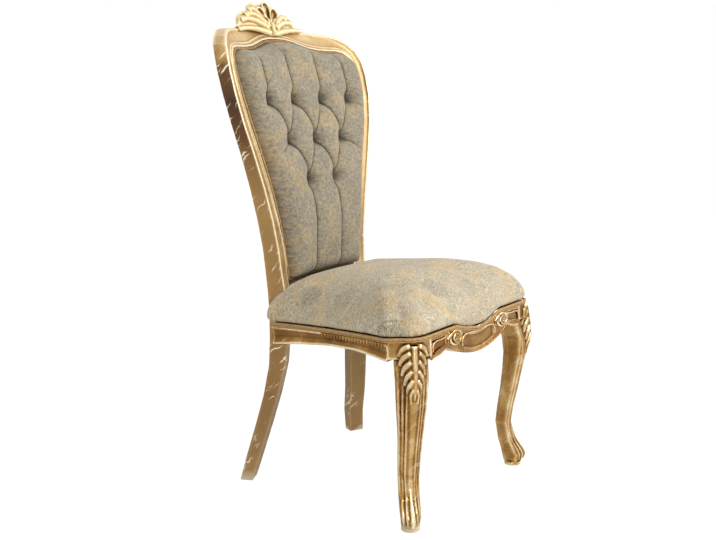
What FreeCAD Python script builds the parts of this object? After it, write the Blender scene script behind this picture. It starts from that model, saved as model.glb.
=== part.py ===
import FreeCAD
import Part
import Sketcher
import os
from math import atan2, cos, degrees, radians, sin, sqrt, tan

# Carved and gilt side chair: rococo frame, crowned seat cushion and diamond tufted back
# Millimetres, Z up, front at negative Y, origin on the floor under the middle
# Right means the side of positive X, and most left pieces are its mirror image

sizes = {
    # Seat seen from above, measured back from the front edge of the upholstery
    "seatFront": 306,
    "seatHeight": 411,
    "seatRake": 4.6,
    "seatDepth": 444,
    "seatFrontWidth": 430,
    "seatWidth": 524,
    "seatRearWidth": 380,
    "seatSideSweep": 12,
    "widestSetback": 66,
    "rearCorner": 17,
    # Seat cushion
    "cushionRise": 113,
    "frontDip": 20,
    "frontDipWidth": 196,
    "fabricFall": 8,
    # Braid round the seat edge
    "braidHeight": 9,
    "braidThickness": 2.7,
    "braidProud": 1,
    # Seat rails
    "railThickness": 26,
    "railInset": 2,
    "sideRailHeight": 52,
    "sideRailBead": 7,
    "sideRailLowerBead": 6,
    "beadProud": 2.5,
    "railCove": 4,
    "rearRailHeight": 46,
    "rearRailSetback": 440,
    "rearRailWidth": 290,
    "frontRailHeight": 53.5,
    "railEndInset": 66,
    "apronNotchHeight": 42,
    "apronShoulder": 64,
    "apronRadius": 288,
    "apronShoulderRadius": 120,
    "panelBorder": 7,
    "panelSink": 2,
    "apronPanelGap": 37,
    "apronPanelTop": 24,
    "apronPanelBottom": 54,
    "apronPanelRadius": 190,
    # Front legs
    "footInset": 33,
    "footSetback": 22.6,
    "footPadRadius": 19.5,
    "footPadHeight": 8,
    "legHeight": 394,
    "kneeWidth": 72,
    "kneeDepth": 77,
    "legBend": 26.6,
    "legBlockHeight": 42,
    # Carved leaf on each knee
    "kneeLeafThickness": 3.5,
    "kneeLeafTop": 395,
    "kneeLeafLength": 104,
    "kneeLeafWidth": 50,
    # Carved medallions on the front rail
    "medallionWidth": 60,
    "medallionHeight": 34,
    "medallionInset": 29,
    "medallionDrop": 26,
    "medallionRelief": 5.5,
    "medallionDome": 75,
    "scrollRadius": 9,
    "scrollThickness": 1.6,
    # Rear posts, each one piece from the floor to the shoulder of the back
    "postHeight": 930,
    "postFront": 98.5,
    "postSweep": 70,
    "postWidth": 46,
    "postDepth": 43,
    "postTurn": 30,
    "backWidth": 504,
    "postBead": 7,
    "postBeadHeight": 2.6,
    "postCoveDepth": 5,
    # Hollow of the back and the way it leans
    "backLevel": 482,
    "backSetback": 134.5,
    "backHollowRadius": 560,
    "backCurlRadius": 1650,
    "backLean": 3.4,
    # Top rail
    "topRailHeight": 1039,
    "topRailDepth": 34,
    "topRailRoll": 20,
    # Carved crest
    "crestBaseHeight": 1019,
    "crestRise": 91,
    "crestSpread": 124,
    "crestThickness": 15,
    "crestLeafThickness": 11,
    "crestSetback": 257,
    "crestLean": 22,
    "crestHoleRadius": 5,
    "shellLength": 65,
    "shellFanAngle": 74,
    "shellStemWidth": 30,
    "shellDome": 300,
    "shellGrooveWidth": 9,
    "shellGrooveDepth": 5,
    # Back upholstery, in layers behind the front face of the frame
    "openingClearance": 0.8,
    "padBottomHeight": 462,
    "padSetback": 2,
    "padBack": 10,
    "padStuffing": 42,
    "padPuff": 17,
    "pleatDepth": 9,
    "tuftSpacing": 97.5,
    "tuftTopHeight": 869,
    "tuftRowSpacing": 90,
    "foldWidth": 4,
    "tuftButtonRadius": 6.5,
    "tuftButtonHeight": 5,
    "backBraidWidth": 5.5,
    "backBraidThickness": 3,
    "backBraidSetback": 1,
    "backBoardThickness": 4,
    "lowerRailHeight": 42,
    "lowerRailThickness": 14,
    "lowerRailReach": 10,
    "backCoverThickness": 2,
    "backCoverBottomHeight": 352,
    # Webbing, dust cover and glue blocks under the seat
    "webbingWidth": 50,
    "webbingThickness": 1,
    "webbingInset": 12,
    "dustCoverThickness": 0.8,
    "dustCoverDrop": 36,
    "cornerBlockReach": 62,
    # Fits
    "fitClearance": 0.3,
    "overrun": 40,
}

doc = FreeCAD.newDocument("SideChair")
sheet = doc.addObject("Spreadsheet::Sheet", "Sizes")
for row, (name, value) in enumerate(sizes.items(), start=1):
    sheet.set(f"A{row}", name)
    sheet.set(f"B{row}", str(value))
    sheet.setAlias(f"B{row}", name)
doc.recompute()


def size(name):
    return float(sheet.get(name))


def vec(x, y, z=0.0):
    return FreeCAD.Vector(x, y, z)


fit = size("fitClearance")
overrun = size("overrun")
# Heights over the seat plane of what lies under the cushion
webbingTop = -fit
lowerWebbingTop = webbingTop - size("webbingThickness") - fit
railTop = lowerWebbingTop - size("webbingThickness")
braidBottom = -fit - size("braidHeight")

# Seat frame of reference: X across, Y back from the front edge, Z square to the raked seat
seatPlacement = FreeCAD.Placement(
    vec(0, -size("seatFront"), size("seatHeight")),
    FreeCAD.Rotation(vec(1, 0, 0), -size("seatRake")),
)
pieces = []
chordShares = [0.0, 0.22, 0.5, 0.78, 1.0]


def addShape(name, shape, placement=None):
    helper = doc.addObject("Part::Feature", name)
    helper.Shape = shape
    if placement is not None:
        helper.Placement = placement.multiply(shape.Placement)
    return helper


def keep(piece, label):
    piece.Label = label
    pieces.append(piece)
    return piece


def mirrorPiece(source, label):
    piece = doc.addObject("Part::Mirroring", label)
    piece.Source = source
    piece.Normal = (1, 0, 0)
    return keep(piece, label)


def cutBy(name, base, tools):
    for number, tool in enumerate(tools):
        last = number == len(tools) - 1
        cut = doc.addObject("Part::Cut", name if last else f"{name}_stage{number}")
        cut.Base = base
        cut.Tool = tool
        base = cut
    return base


def flip(points):
    return [vec(-p.x, p.y, p.z) for p in reversed(points)]


def edgeThrough(points):
    if len(points) == 3:
        return Part.Arc(*points).toShape()
    return Part.LineSegment(*points).toShape()


def closedWire(edges):
    return Part.Wire([edgeThrough(points) for points in edges])


def arcsThrough(points):
    # Arcs through every second point, so the count of points is odd
    return [tuple(points[i:i + 3]) for i in range(0, len(points) - 2, 2)]


def chordsAlong(start, middle, end):
    # Short chords of the parabola through three points, which keep a ruled soft form light
    pull = middle * 2 - (start + end) / 2
    points = [start * (1 - t) ** 2 + pull * (2 * t * (1 - t)) + end * t ** 2 for t in chordShares]
    return list(zip(points, points[1:]))


def chordedWire(edges):
    # Closed wire whose arcs are short chords, for the sections of a ruled form and for carved outlines
    return closedWire([chord for edge in edges for chord in (chordsAlong(*edge) if len(edge) == 3 else [edge])])


def loftThrough(wires):
    # Solid whose faces run straight from each section to the next
    return Part.makeLoft(wires, True, True)


def prism(face, start, end):
    swept = face.copy()
    swept.translate(start)
    return swept.extrude(end - start)


def shareOutline(shares, width, height):
    # Closed outline in the XZ plane through shares of a width and a height
    points = [vec(width * x, 0, height * z) for x, z in shares]
    return Part.Face(chordedWire(arcsThrough(points + points[:1])))


# Sketches whose points are tied to the sheet
def newSketch(body, name, role, lift):
    sketch = body.newObject("Sketcher::SketchObject", name)
    plane = next(feature for feature in body.Origin.OriginFeatures if feature.Role == role)
    sketch.AttachmentSupport = [(plane, "")]
    sketch.MapMode = "FlatFace"
    sketch.setExpression("AttachmentOffset.Base.z", lift)
    return sketch


def worth(expression):
    return float(sheet.evalExpression(expression))


def bind(sketch, constraint, arguments, expression):
    index = sketch.addConstraint(Sketcher.Constraint(constraint, *arguments, worth(expression)))
    sketch.setExpression(f"Constraints[{index}]", expression)


def drawOutline(sketch, corners, radii):
    # Corners are pairs of expressions; radii gives, by the number of its first corner, the
    # expression of an arc's radius and the side of travel on which its centre lies
    points = [vec(worth(across), worth(along)) for across, along in corners]
    ends = []
    for number, start in enumerate(points):
        end = points[(number + 1) % len(points)]
        if number not in radii:
            edge = sketch.addGeometry(Part.LineSegment(start, end), False)
            ends.append((edge, 1, 2))
            continue
        expression, side = radii[number]
        radius = worth(expression)
        chord = end - start
        rise = sqrt(radius ** 2 - (chord.Length / 2) ** 2)
        centre = (start + end) / 2 + vec(-chord.y, chord.x) * (side * rise / chord.Length)
        first, second = (start, end) if side > 0 else (end, start)
        angles = [atan2(p.y - centre.y, p.x - centre.x) for p in (first, second)]
        circle = Part.Circle(centre, vec(0, 0, 1), radius)
        edge = sketch.addGeometry(Part.ArcOfCircle(circle, *angles), False)
        ends.append((edge, 1, 2) if side > 0 else (edge, 2, 1))
    for number, (edge, start, end) in enumerate(ends):
        following = ends[(number + 1) % len(ends)]
        sketch.addConstraint(Sketcher.Constraint("Coincident", edge, end, following[0], following[1]))
        bind(sketch, "DistanceX", (-1, 1, edge, start), corners[number][0])
        bind(sketch, "DistanceY", (-1, 1, edge, start), corners[number][1])
        if number in radii:
            bind(sketch, "Radius", (edge,), radii[number][0])


def extrudeSketch(body, kind, name, sketch, length, reverse=False):
    feature = body.newObject(kind, name)
    feature.Profile = sketch
    feature.setExpression("Length", length)
    feature.Reversed = reverse
    doc.recompute()
    return feature


# Outline of the seat from above
frontCornerShares = [(0.49, 0.16), (0.70, 0.485)]
rearWrapShares = [(0.1, 0.6), (0.5, 1.0)]


def seatOutlineEdges():
    front = vec(size("seatFrontWidth") / 2, 0)
    widest = vec(size("seatWidth") / 2, size("widestSetback"))
    corner = [front + vec((widest - front).x * x, widest.y * y) for x, y in frontCornerShares]
    wrap = size("rearCorner")
    rear = vec(size("seatRearWidth") / 2, size("seatDepth") - wrap)
    side = rear - widest
    waist = (widest + rear) / 2 + vec(-side.y, side.x) * (size("seatSideSweep") / side.Length)
    behind = [rear + vec(-wrap * x, wrap * y) for x, y in rearWrapShares]
    right = [(front, *corner), (corner[-1], widest), (widest, waist, rear), (rear, *behind)]
    left = [tuple(flip(edge)) for edge in reversed(right)]
    return right + [(behind[-1], flip(behind)[0])] + left + [(flip([front])[0], front)]


seatEdges = seatOutlineEdges()
seatFace = Part.Face(closedWire(seatEdges))
sideArc = seatEdges[2]


def seatFaceInset(inset):
    return Part.Face(seatFace.makeOffset2D(-inset).OuterWire)


def seatRegion(inset, bottom, top):
    return prism(seatFaceInset(inset), vec(0, 0, bottom), vec(0, 0, top))


def seatBox(start, end):
    span = end - start
    return Part.makeBox(span.x, span.y, span.z, start)


# Hollow back: how far back the frame's front face lies at a place across and a height
def backFace(across, height, roll=0.0):
    rise = height - size("backLevel")
    lean = rise * tan(radians(size("backLean"))) + rise ** 2 / (2 * size("backCurlRadius"))
    hollow = across ** 2 / (2 * size("backHollowRadius"))
    return size("backSetback") + lean - hollow + roll * size("topRailRoll")


# Rear posts: shares of postHeight, half backWidth, postSweep, postWidth, postDepth and postTurn,
# and the share of the full moulding that the front face has
postShares = [
    (0.000, 0.881, 0.82, 0.84, 0.70, 0.83, 0.1),
    (0.065, 0.818, 0.66, 0.90, 0.75, 0.81, 0.1),
    (0.140, 0.762, 0.42, 0.96, 0.78, 0.84, 0.1),
    (0.215, 0.698, 0.22, 1.00, 0.82, 0.87, 0.1),
    (0.290, 0.643, 0.06, 0.99, 0.91, 0.93, 0.1),
    (0.355, 0.622, 0.00, 0.97, 0.99, 1.00, 0.1),
    (0.420, 0.619, 0.01, 0.93, 1.00, 0.94, 0.1),
    (0.473, 0.630, 0.06, 0.84, 0.98, 0.78, 0.4),
    (0.520, 0.645, 0.14, 0.77, 0.95, 0.62, 0.8),
    (0.580, 0.665, 0.21, 0.72, 0.94, 0.51, 1.0),
    (0.650, 0.712, 0.28, 0.72, 0.93, 0.48, 1.0),
    (0.730, 0.785, 0.38, 0.75, 0.87, 0.53, 1.0),
    (0.810, 0.869, 0.51, 0.79, 0.80, 0.59, 1.0),
    (0.880, 0.945, 0.65, 0.79, 0.76, 0.61, 1.0),
    (0.945, 0.990, 0.81, 0.77, 0.75, 0.66, 1.0),
    (1.000, 1.000, 0.99, 0.76, 0.75, 0.70, 1.0),
]
backBevelShare = 0.07


def mouldedSection(corner, across, back, width, depth, moulding):
    # Bead, cove and bead along the front from corner, then plain sides and a bevelled back
    bead = size("postBead")
    lift = size("postBeadHeight") * moulding
    cove = size("postCoveDepth") * moulding
    bevel = width * backBevelShare

    def at(u, v):
        return corner + across * u + back * v
    edges = [(at(0, lift), at(bead / 2, 0), at(bead, lift)),
             (at(bead, lift), at(width / 2, cove), at(width - bead, lift)),
             (at(width - bead, lift), at(width - bead / 2, 0), at(width, lift)),
             (at(width, lift), at(width, depth - bevel)),
             (at(width, depth - bevel), at(width - bevel, depth)),
             (at(width - bevel, depth), at(bevel, depth)),
             (at(bevel, depth), at(0, depth - bevel)),
             (at(0, depth - bevel), at(0, lift))]
    return chordedWire(edges)


def postStation(shares):
    rise, spread, sweep, width, depth, turn, moulding = shares
    angle = radians(size("postTurn") * turn)
    outer = vec(size("backWidth") / 2 * spread, size("postFront") + size("postSweep") * sweep,
                size("postHeight") * rise)
    across = vec(cos(angle), -sin(angle))
    width = size("postWidth") * width
    return outer - across * width, across, width, size("postDepth") * depth, moulding


def backward(across):
    return vec(-across.y, across.x)


def postShape():
    wires = []
    for shares in postShares:
        inner, across, width, depth, moulding = postStation(shares)
        wires.append(mouldedSection(inner, across, backward(across), width, depth, moulding))
    return loftThrough(wires)


def postRoom():
    # Plain block round the post where it passes the seat
    wires = []
    for shares in postShares:
        inner, across, width, depth, moulding = postStation(shares)
        back = backward(across)
        corner = inner - (across + back) * fit
        side, rear = across * (width + 2 * fit), back * (depth + 2 * fit)
        points = [corner, corner + side, corner + side + rear, corner + rear]
        wires.append(Part.makePolygon(points + points[:1]))
    start = vec(0, 0, size("seatHeight") / 2)
    around = Part.makeBox(size("seatWidth"), size("seatDepth"), size("seatHeight"), start)
    return loftThrough(wires).common(around)


# Top rail: shares of half backWidth and of the rise from postHeight to the top of the rail,
# at the opening and at the outer edge, and the share of the roll
topRailShares = [
    (0.863, 0.23, 0.987, 0.295, 0.0),
    (0.838, 0.38, 0.948, 0.55, 0.0),
    (0.790, 0.475, 0.877, 0.725, 0.1),
    (0.722, 0.51, 0.786, 0.835, 0.35),
    (0.627, 0.515, 0.667, 0.89, 0.75),
    (0.516, 0.525, 0.532, 0.92, 1.0),
    (0.405, 0.56, 0.405, 0.94, 1.0),
    (0.310, 0.625, 0.302, 0.955, 1.0),
    (0.218, 0.69, 0.206, 0.975, 1.0),
    (0.110, 0.73, 0.103, 0.99, 1.0),
    (0.000, 0.739, 0.000, 1.0, 1.0),
]


def topRailStations():
    # Opening edge, outer edge, depth and direction of the depth, from the right post to the middle
    half = size("backWidth") / 2
    base = size("postHeight")
    rise = size("topRailHeight") - base
    inner, across, width, depth, moulding = postStation(postShares[-1])
    stations = [(inner, inner + across * width, depth, backward(across))]
    for openingX, openingRise, outerX, outerRise, roll in topRailShares:
        opening = vec(half * openingX, 0, base + rise * openingRise)
        outer = vec(half * outerX, 0, base + rise * outerRise)
        opening.y = backFace(opening.x, opening.z)
        outer.y = backFace(outer.x, outer.z, roll)
        angle = atan2(-across.y, across.x) * opening.x / inner.x
        deepening = (size("topRailDepth") - depth) * (1 - openingX)
        stations.append((opening, outer, depth + deepening, vec(sin(angle), cos(angle))))
    return stations


def topRailShape():
    wires = []
    for side in (1, -1):
        stations = topRailStations() if side > 0 else topRailStations()[-2::-1]
        for opening, outer, depth, back in stations:
            for place in (opening, outer, back):
                place.x *= side
            width = (outer - opening).Length
            wires.append(mouldedSection(opening, (outer - opening) / width, back, width, depth, 1.0))
    return loftThrough(wires)


postRight = addShape("rear_post_right", postShape())
keep(postRight, "rear_post_right")
mirrorPiece(postRight, "rear_post_left")
postRoomRight = addShape("PostRoomRight", postRoom())
postRoomLeft = doc.addObject("Part::Mirroring", "PostRoomLeft")
postRoomLeft.Source = postRoomRight
postRoomLeft.Normal = (1, 0, 0)
postRooms = [postRoomRight, postRoomLeft]
topRail = keep(addShape("top_rail", topRailShape()), "top_rail")


# Carved crest, drawn upright and then leaned back over the top rail
crestPlacement = FreeCAD.Placement(
    vec(0, size("crestSetback"), size("crestBaseHeight")),
    FreeCAD.Rotation(vec(1, 0, 0), -size("crestLean")),
)
# Lobes of the shell from left to right: share of the fan's half angle and of shellLength where
# each one starts, and the share of shellLength that it reaches in its middle
shellLobeShares = [
    (-1.0, 0.50, 0.68), (-0.72, 0.66, 0.86), (-0.43, 0.80, 0.96), (-0.15, 0.87, 1.0),
    (0.15, 0.87, 0.96), (0.43, 0.80, 0.86), (0.72, 0.66, 0.68), (1.0, 0.50, 0.0),
]
shellHeartShare = 0.25
stemWaistShares = (0.62, -0.30)
grooveStartShare = 0.2
shellGrooveSinkShare = 0.1
crestLeafLeftShares = [
    (-0.06, 0.03), (-0.35, 0.20), (-0.62, 0.17), (-0.82, 0.15), (-1.0, 0.20), (-0.93, 0.28),
    (-0.88, 0.45), (-0.78, 0.60), (-0.66, 0.58), (-0.53, 0.66), (-0.50, 0.80), (-0.44, 0.87),
    (-0.36, 0.88), (-0.25, 0.68), (-0.20, 0.45), (-0.12, 0.28), (-0.06, 0.16), (-0.05, 0.10),
]
crestLeafRightShares = [
    (0.06, 0.03), (0.35, 0.18), (0.62, 0.14), (0.75, 0.12), (0.83, 0.15), (0.76, 0.19),
    (0.70, 0.24), (0.69, 0.33), (0.62, 0.41), (0.62, 0.51), (0.54, 0.575), (0.45, 0.60),
    (0.38, 0.50), (0.30, 0.46), (0.24, 0.46), (0.12, 0.28), (0.06, 0.16), (0.05, 0.10),
]
crestLeafLeftHoleShares = (-0.78, 0.36)
crestLeafRightHoleShares = (0.44, 0.33)


def fanPoint(turn, length):
    angle = radians(size("shellFanAngle")) * turn
    return vec(sin(angle), 0, cos(angle)) * (size("shellLength") * length)


def shellShape():
    # Domed plate with round lobes, a waisted stem and a groove running in between each pair of lobes
    thickness = size("crestThickness")
    heart = vec(0, 0, size("crestRise") * shellHeartShare)
    edges = []
    for lobe, following in zip(shellLobeShares, shellLobeShares[1:]):
        turn = (lobe[0] + following[0]) / 2
        points = (fanPoint(lobe[0], lobe[1]), fanPoint(turn, lobe[2]), fanPoint(following[0], following[1]))
        edges.append(tuple(heart + point for point in points))
    stem = size("shellStemWidth") / 2
    waist = vec(stem * stemWaistShares[0], 0, heart.z * (1 + stemWaistShares[1]))
    right = [(edges[-1][-1], waist), (waist, vec(stem, 0))]
    left = [tuple(flip(edge)) for edge in reversed(right)]
    outline = edges + right + [(right[-1][-1], left[0][0])] + left
    shell = prism(Part.Face(chordedWire(outline)), vec(0, 0), vec(0, thickness))
    dome = size("shellDome")
    shell = shell.common(Part.makeSphere(dome, heart + vec(0, dome)))
    half = size("shellGrooveWidth") / 2
    for lobe in shellLobeShares[1:-1]:
        mouth = [vec(-half, 0), vec(0, size("shellGrooveDepth")), vec(half, 0), vec(0, -overrun)]
        groove = Part.Face(Part.makePolygon(mouth + mouth[:1])).extrude(vec(0, 0, 2 * size("shellLength")))
        groove.translate(vec(0, 0, size("shellLength") * grooveStartShare))
        groove.rotate(vec(0, 0), vec(0, 1, 0), size("shellFanAngle") * lobe[0])
        groove.translate(heart + vec(0, shellGrooveSinkShare * thickness))
        shell = shell.cut(groove)
    return shell


def crestLeafShape(shares, hole):
    face = shareOutline(shares, size("crestSpread"), size("crestRise"))
    leaf = prism(face, vec(0, 0), vec(0, size("crestLeafThickness")))
    place = vec(size("crestSpread") * hole[0], -overrun, size("crestRise") * hole[1])
    return leaf.cut(Part.makeCylinder(size("crestHoleRadius"), 3 * overrun, place, vec(0, 1)))


shell = addShape("ShellCarving", shellShape(), crestPlacement)
keep(cutBy("crest_shell", shell, [topRail]), "crest_shell")
for side, shares, hole in (("left", crestLeafLeftShares, crestLeafLeftHoleShares),
                           ("right", crestLeafRightShares, crestLeafRightHoleShares)):
    leaf = addShape(f"Leaf{side}", crestLeafShape(shares, hole), crestPlacement)
    keep(cutBy(f"crest_leaf_{side}", leaf, [topRail, shell]), f"crest_leaf_{side}")


# Front legs: shares of legHeight, legBend, kneeWidth and kneeDepth
legShares = [
    (0.020, 0.00, 0.549, 0.558),
    (0.063, 0.07, 0.606, 0.749),
    (0.101, -0.19, 0.631, 0.642),
    (0.165, -0.63, 0.632, 0.550),
    (0.279, -1.00, 0.646, 0.500),
    (0.381, -0.83, 0.681, 0.519),
    (0.482, -0.545, 0.722, 0.578),
    (0.596, -0.30, 0.825, 0.636),
    (0.711, -0.075, 0.930, 0.740),
    (0.812, -0.056, 0.979, 0.896),
    (0.888, -0.41, 1.000, 1.000),
    (1.000, -0.56, 0.975, 0.890),
]
ridgeShares = (0.88, 0.26)
sideCornerShares = (0.20, 0.90)
innerCornerShares = (0.82, 0.36)
faceHollowShare = 0.05
outward = vec(sqrt(0.5), -sqrt(0.5))
sideways = vec(sqrt(0.5), sqrt(0.5))
railHalfSpan = size("seatWidth") / 2 - size("railEndInset")
footCentre = vec(size("seatWidth") / 2 - size("footInset"), size("footSetback") - size("seatFront"))


def legSection(shares, grow):
    # Four rounded corners joined by four faces, the two outer faces a little hollow
    rise, bend, width, depth = shares
    middle = footCentre + outward * (size("legBend") * bend) + vec(0, 0, size("legHeight") * rise)
    half = size("kneeWidth") * width / 2 + grow
    reach = size("kneeDepth") * depth / 2 + grow

    def at(p, q):
        return middle + outward * (reach * p) + sideways * (half * q)

    def hollow(start, end):
        return (start + end) / 2 * (1 - faceHollowShare) + middle * faceHollowShare
    sides = []
    for side in (1, -1):
        ridge = at(ridgeShares[0], ridgeShares[1] * side)
        front = at(sideCornerShares[0], sideCornerShares[1] * side)
        rear = at(-sideCornerShares[0], sideCornerShares[1] * side)
        inner = at(-innerCornerShares[0], innerCornerShares[1] * side)
        sides.append([(ridge, hollow(ridge, front), front), (front, at(0, side), rear), (rear, inner)])
    right, left = sides
    left = [tuple(reversed(edge)) for edge in reversed(left)]
    ridgeEdge = (left[-1][-1], at(1, 0), right[0][0])
    innerEdge = (right[-1][-1], at(-1, 0), left[0][0])
    return chordedWire([ridgeEdge] + right + [innerEdge] + left)


def legLoft(grow):
    return loftThrough([legSection(shares, grow) for shares in legShares])


def placed(shape):
    shape.Placement = seatPlacement.multiply(shape.Placement)
    return shape


def legBlock(grow):
    # Top of the leg, square inside and following the seat outside
    region = seatRegion(size("railInset") - grow, railTop - size("legBlockHeight") - grow, railTop + grow)
    start = vec(railHalfSpan - grow, -overrun, -2 * size("legBlockHeight"))
    end = vec(size("seatWidth"), size("widestSetback") + grow, overrun)
    return placed(region.common(seatBox(start, end)))


footPad = Part.makeCylinder(size("footPadRadius"), size("footPadHeight"), footCentre)
legShape = legLoft(0.0).fuse([footPad, legBlock(0.0)]).removeSplitter()
legRight = keep(addShape("front_leg_right", legShape), "front_leg_right")
mirrorPiece(legRight, "front_leg_left")

# Leaf carved on each knee: shares of its width and length, with its tip at the bottom
kneeLeafShares = [
    (0.00, -1.00), (0.12, -0.84), (0.22, -0.70), (0.20, -0.60), (0.34, -0.50), (0.31, -0.38),
    (0.50, -0.20), (0.38, -0.07), (0.20, -0.01), (0.00, 0.00), (-0.20, -0.01), (-0.38, -0.07),
    (-0.50, -0.20), (-0.31, -0.38), (-0.34, -0.50), (-0.20, -0.60), (-0.22, -0.70), (-0.12, -0.84),
]


def kneeLeafShape():
    face = shareOutline(kneeLeafShares, size("kneeLeafWidth"), size("kneeLeafLength"))
    outline = prism(face, vec(0, 0), vec(0, -2 * size("kneeDepth")))
    outline.rotate(vec(0, 0), vec(0, 0, 1), degrees(atan2(sideways.y, sideways.x)))
    outline.translate(footCentre + vec(0, 0, size("kneeLeafTop")))
    return legLoft(size("kneeLeafThickness")).common(outline).cut([legLoft(0.0), legBlock(0.0)])


kneeLeaf = keep(addShape("knee_leaf_right", kneeLeafShape()), "knee_leaf_right")
mirrorPiece(kneeLeaf, "knee_leaf_left")


# Side rails: shares of the side's length and of sideRailHeight
sideRailShares = [(0.0, 0.96), (0.12, 0.86), (0.29, 0.755), (0.515, 0.75), (0.737, 0.85), (1.0, 1.0)]
sideCircle = Part.Circle(*sideArc)


def sideRailSection(along, height):
    widest, rear = sideArc[0], sideArc[2]
    y = widest.y + (rear.y - widest.y) * along
    offset = sqrt(sideCircle.Radius ** 2 - (y - sideCircle.Center.y) ** 2)
    face = sideCircle.Center.x - offset - size("railInset")
    inner = face - size("railThickness")
    bottom = -size("sideRailHeight") * height
    bead = size("sideRailBead")
    lowBead = size("sideRailLowerBead")
    proud = size("beadProud")
    start = braidBottom - fit
    high = [vec(face, y, start), vec(face + proud, y, start - bead / 2), vec(face, y, start - bead)]
    cove = vec(face - size("railCove"), y, (start - bead + bottom + lowBead) / 2)
    low = [vec(face, y, bottom + lowBead), vec(face + proud, y, bottom + lowBead / 2), vec(face, y, bottom)]
    return chordedWire([(vec(face, y, railTop), high[0]), tuple(high), (high[2], cove, low[0]), tuple(low),
                        (low[2], vec(inner, y, bottom)), (vec(inner, y, bottom), vec(inner, y, railTop)),
                        (vec(inner, y, railTop), vec(face, y, railTop))])


sideRailLoft = loftThrough([sideRailSection(*shares) for shares in sideRailShares])
sideRailBlank = addShape("SideRailBlank", sideRailLoft, seatPlacement)
sideRail = keep(cutBy("side_seat_rail_right", sideRailBlank, [postRoomRight]), "side_seat_rail_right")
mirrorPiece(sideRail, "side_seat_rail_left")

# Front rail: a shaped board with sunk panels and a rebate for the falling fabric
frontRail = doc.addObject("PartDesign::Body", "FrontRailBoard")
frontRail.Placement = seatPlacement
halfSpan = "(Sizes.seatWidth / 2 - Sizes.railEndInset)"
halfNotch = "(Sizes.seatWidth / 2 - Sizes.railEndInset - Sizes.apronShoulder)"
topLine = "-(2 * Sizes.webbingThickness + 2 * Sizes.fitClearance)"
elevation = newSketch(frontRail, "RailElevation", "XZ_Plane", "-Sizes.railInset")
drawOutline(elevation, [(f"-{halfSpan}", topLine), (f"-{halfSpan}", "-Sizes.frontRailHeight"),
                        (f"-{halfNotch}", "-Sizes.apronNotchHeight"), (halfNotch, "-Sizes.apronNotchHeight"),
                        (halfSpan, "-Sizes.frontRailHeight"), (halfSpan, topLine)],
            {1: ("Sizes.apronShoulderRadius", 1), 2: ("Sizes.apronRadius", 1),
             3: ("Sizes.apronShoulderRadius", 1)})
extrudeSketch(frontRail, "PartDesign::Pad", "RailBoard", elevation, "Sizes.railThickness", True)
sidePanel = newSketch(frontRail, "SidePanels", "XZ_Plane", "-Sizes.railInset")
panelOuter = f"({halfSpan} - Sizes.panelBorder)"
panelInner = f"({halfNotch} + Sizes.panelBorder)"
panelTop = "-(Sizes.braidHeight + Sizes.panelBorder)"
for sign in ("", "-"):
    drawOutline(sidePanel, [(f"{sign}{panelOuter}", panelTop), (f"{sign}{panelInner}", panelTop),
                            (f"{sign}{panelInner}", "-(Sizes.apronNotchHeight - Sizes.panelBorder)"),
                            (f"{sign}{panelOuter}", "-(Sizes.frontRailHeight - Sizes.panelBorder)")], {})
extrudeSketch(frontRail, "PartDesign::Pocket", "SunkSidePanels", sidePanel, "Sizes.panelSink")
apronPanel = newSketch(frontRail, "ApronPanel", "XZ_Plane", "-Sizes.railInset")
panelHalf = f"({halfNotch} - Sizes.medallionInset - Sizes.apronPanelGap)"
drawOutline(apronPanel, [(f"-{panelHalf}", "-Sizes.apronPanelTop"),
                         (f"-{panelHalf}", "-Sizes.apronPanelBottom"),
                         (panelHalf, "-Sizes.apronPanelBottom"), (panelHalf, "-Sizes.apronPanelTop")],
            {1: ("Sizes.apronPanelRadius", 1), 3: ("Sizes.apronPanelRadius", -1)})
extrudeSketch(frontRail, "PartDesign::Pocket", "SunkApronPanel", apronPanel, "Sizes.panelSink")

# Dip in the middle of the seat's front edge, as shares of half its width and of its depth
dipShares = [(1.0, 0.0), (0.85, 0.175), (0.67, 0.475), (0.0, 1.0)]


def dipEdges(drop):
    # The dipping line from right to left, lowered by drop
    right = [vec(size("frontDipWidth") / 2 * x, 0, -size("frontDip") * z - drop) for x, z in dipShares]
    left = flip(right)
    return [tuple(right[:3]), (right[2], right[3], left[1]), tuple(left[1:])]


def dipRegion(drop, start, end):
    edges = dipEdges(drop)
    first, last = edges[0][0], edges[-1][-1]
    if drop:
        rise = vec(0, 0, drop)
        edges += [(last, last + rise), (last + rise, first + rise), (first + rise, first)]
    else:
        edges.append((last, first))
    return prism(Part.Face(closedWire(edges)), vec(0, start), vec(0, end))


fallDepth = size("railInset") + size("fabricFall")
rebate = addShape("FabricRebate", dipRegion(fit, -overrun, fallDepth), seatPlacement)
keep(cutBy("front_seat_rail", frontRail, [rebate]), "front_seat_rail")

# Rear rail: a plain board between the posts
rearRail = doc.addObject("PartDesign::Body", "RearRailBlank")
rearRail.Placement = seatPlacement
plan = newSketch(rearRail, "RearRailPlan", "XY_Plane", topLine)
rearHalf = "Sizes.rearRailWidth / 2"
rearLine = "(Sizes.rearRailSetback + Sizes.railThickness)"
drawOutline(plan, [(f"-{rearHalf}", "Sizes.rearRailSetback"), (rearHalf, "Sizes.rearRailSetback"),
                   (rearHalf, rearLine), (f"-{rearHalf}", rearLine)], {})
extrudeSketch(rearRail, "PartDesign::Pad", "RearRailBoard", plan, "Sizes.rearRailHeight", True)


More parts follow.
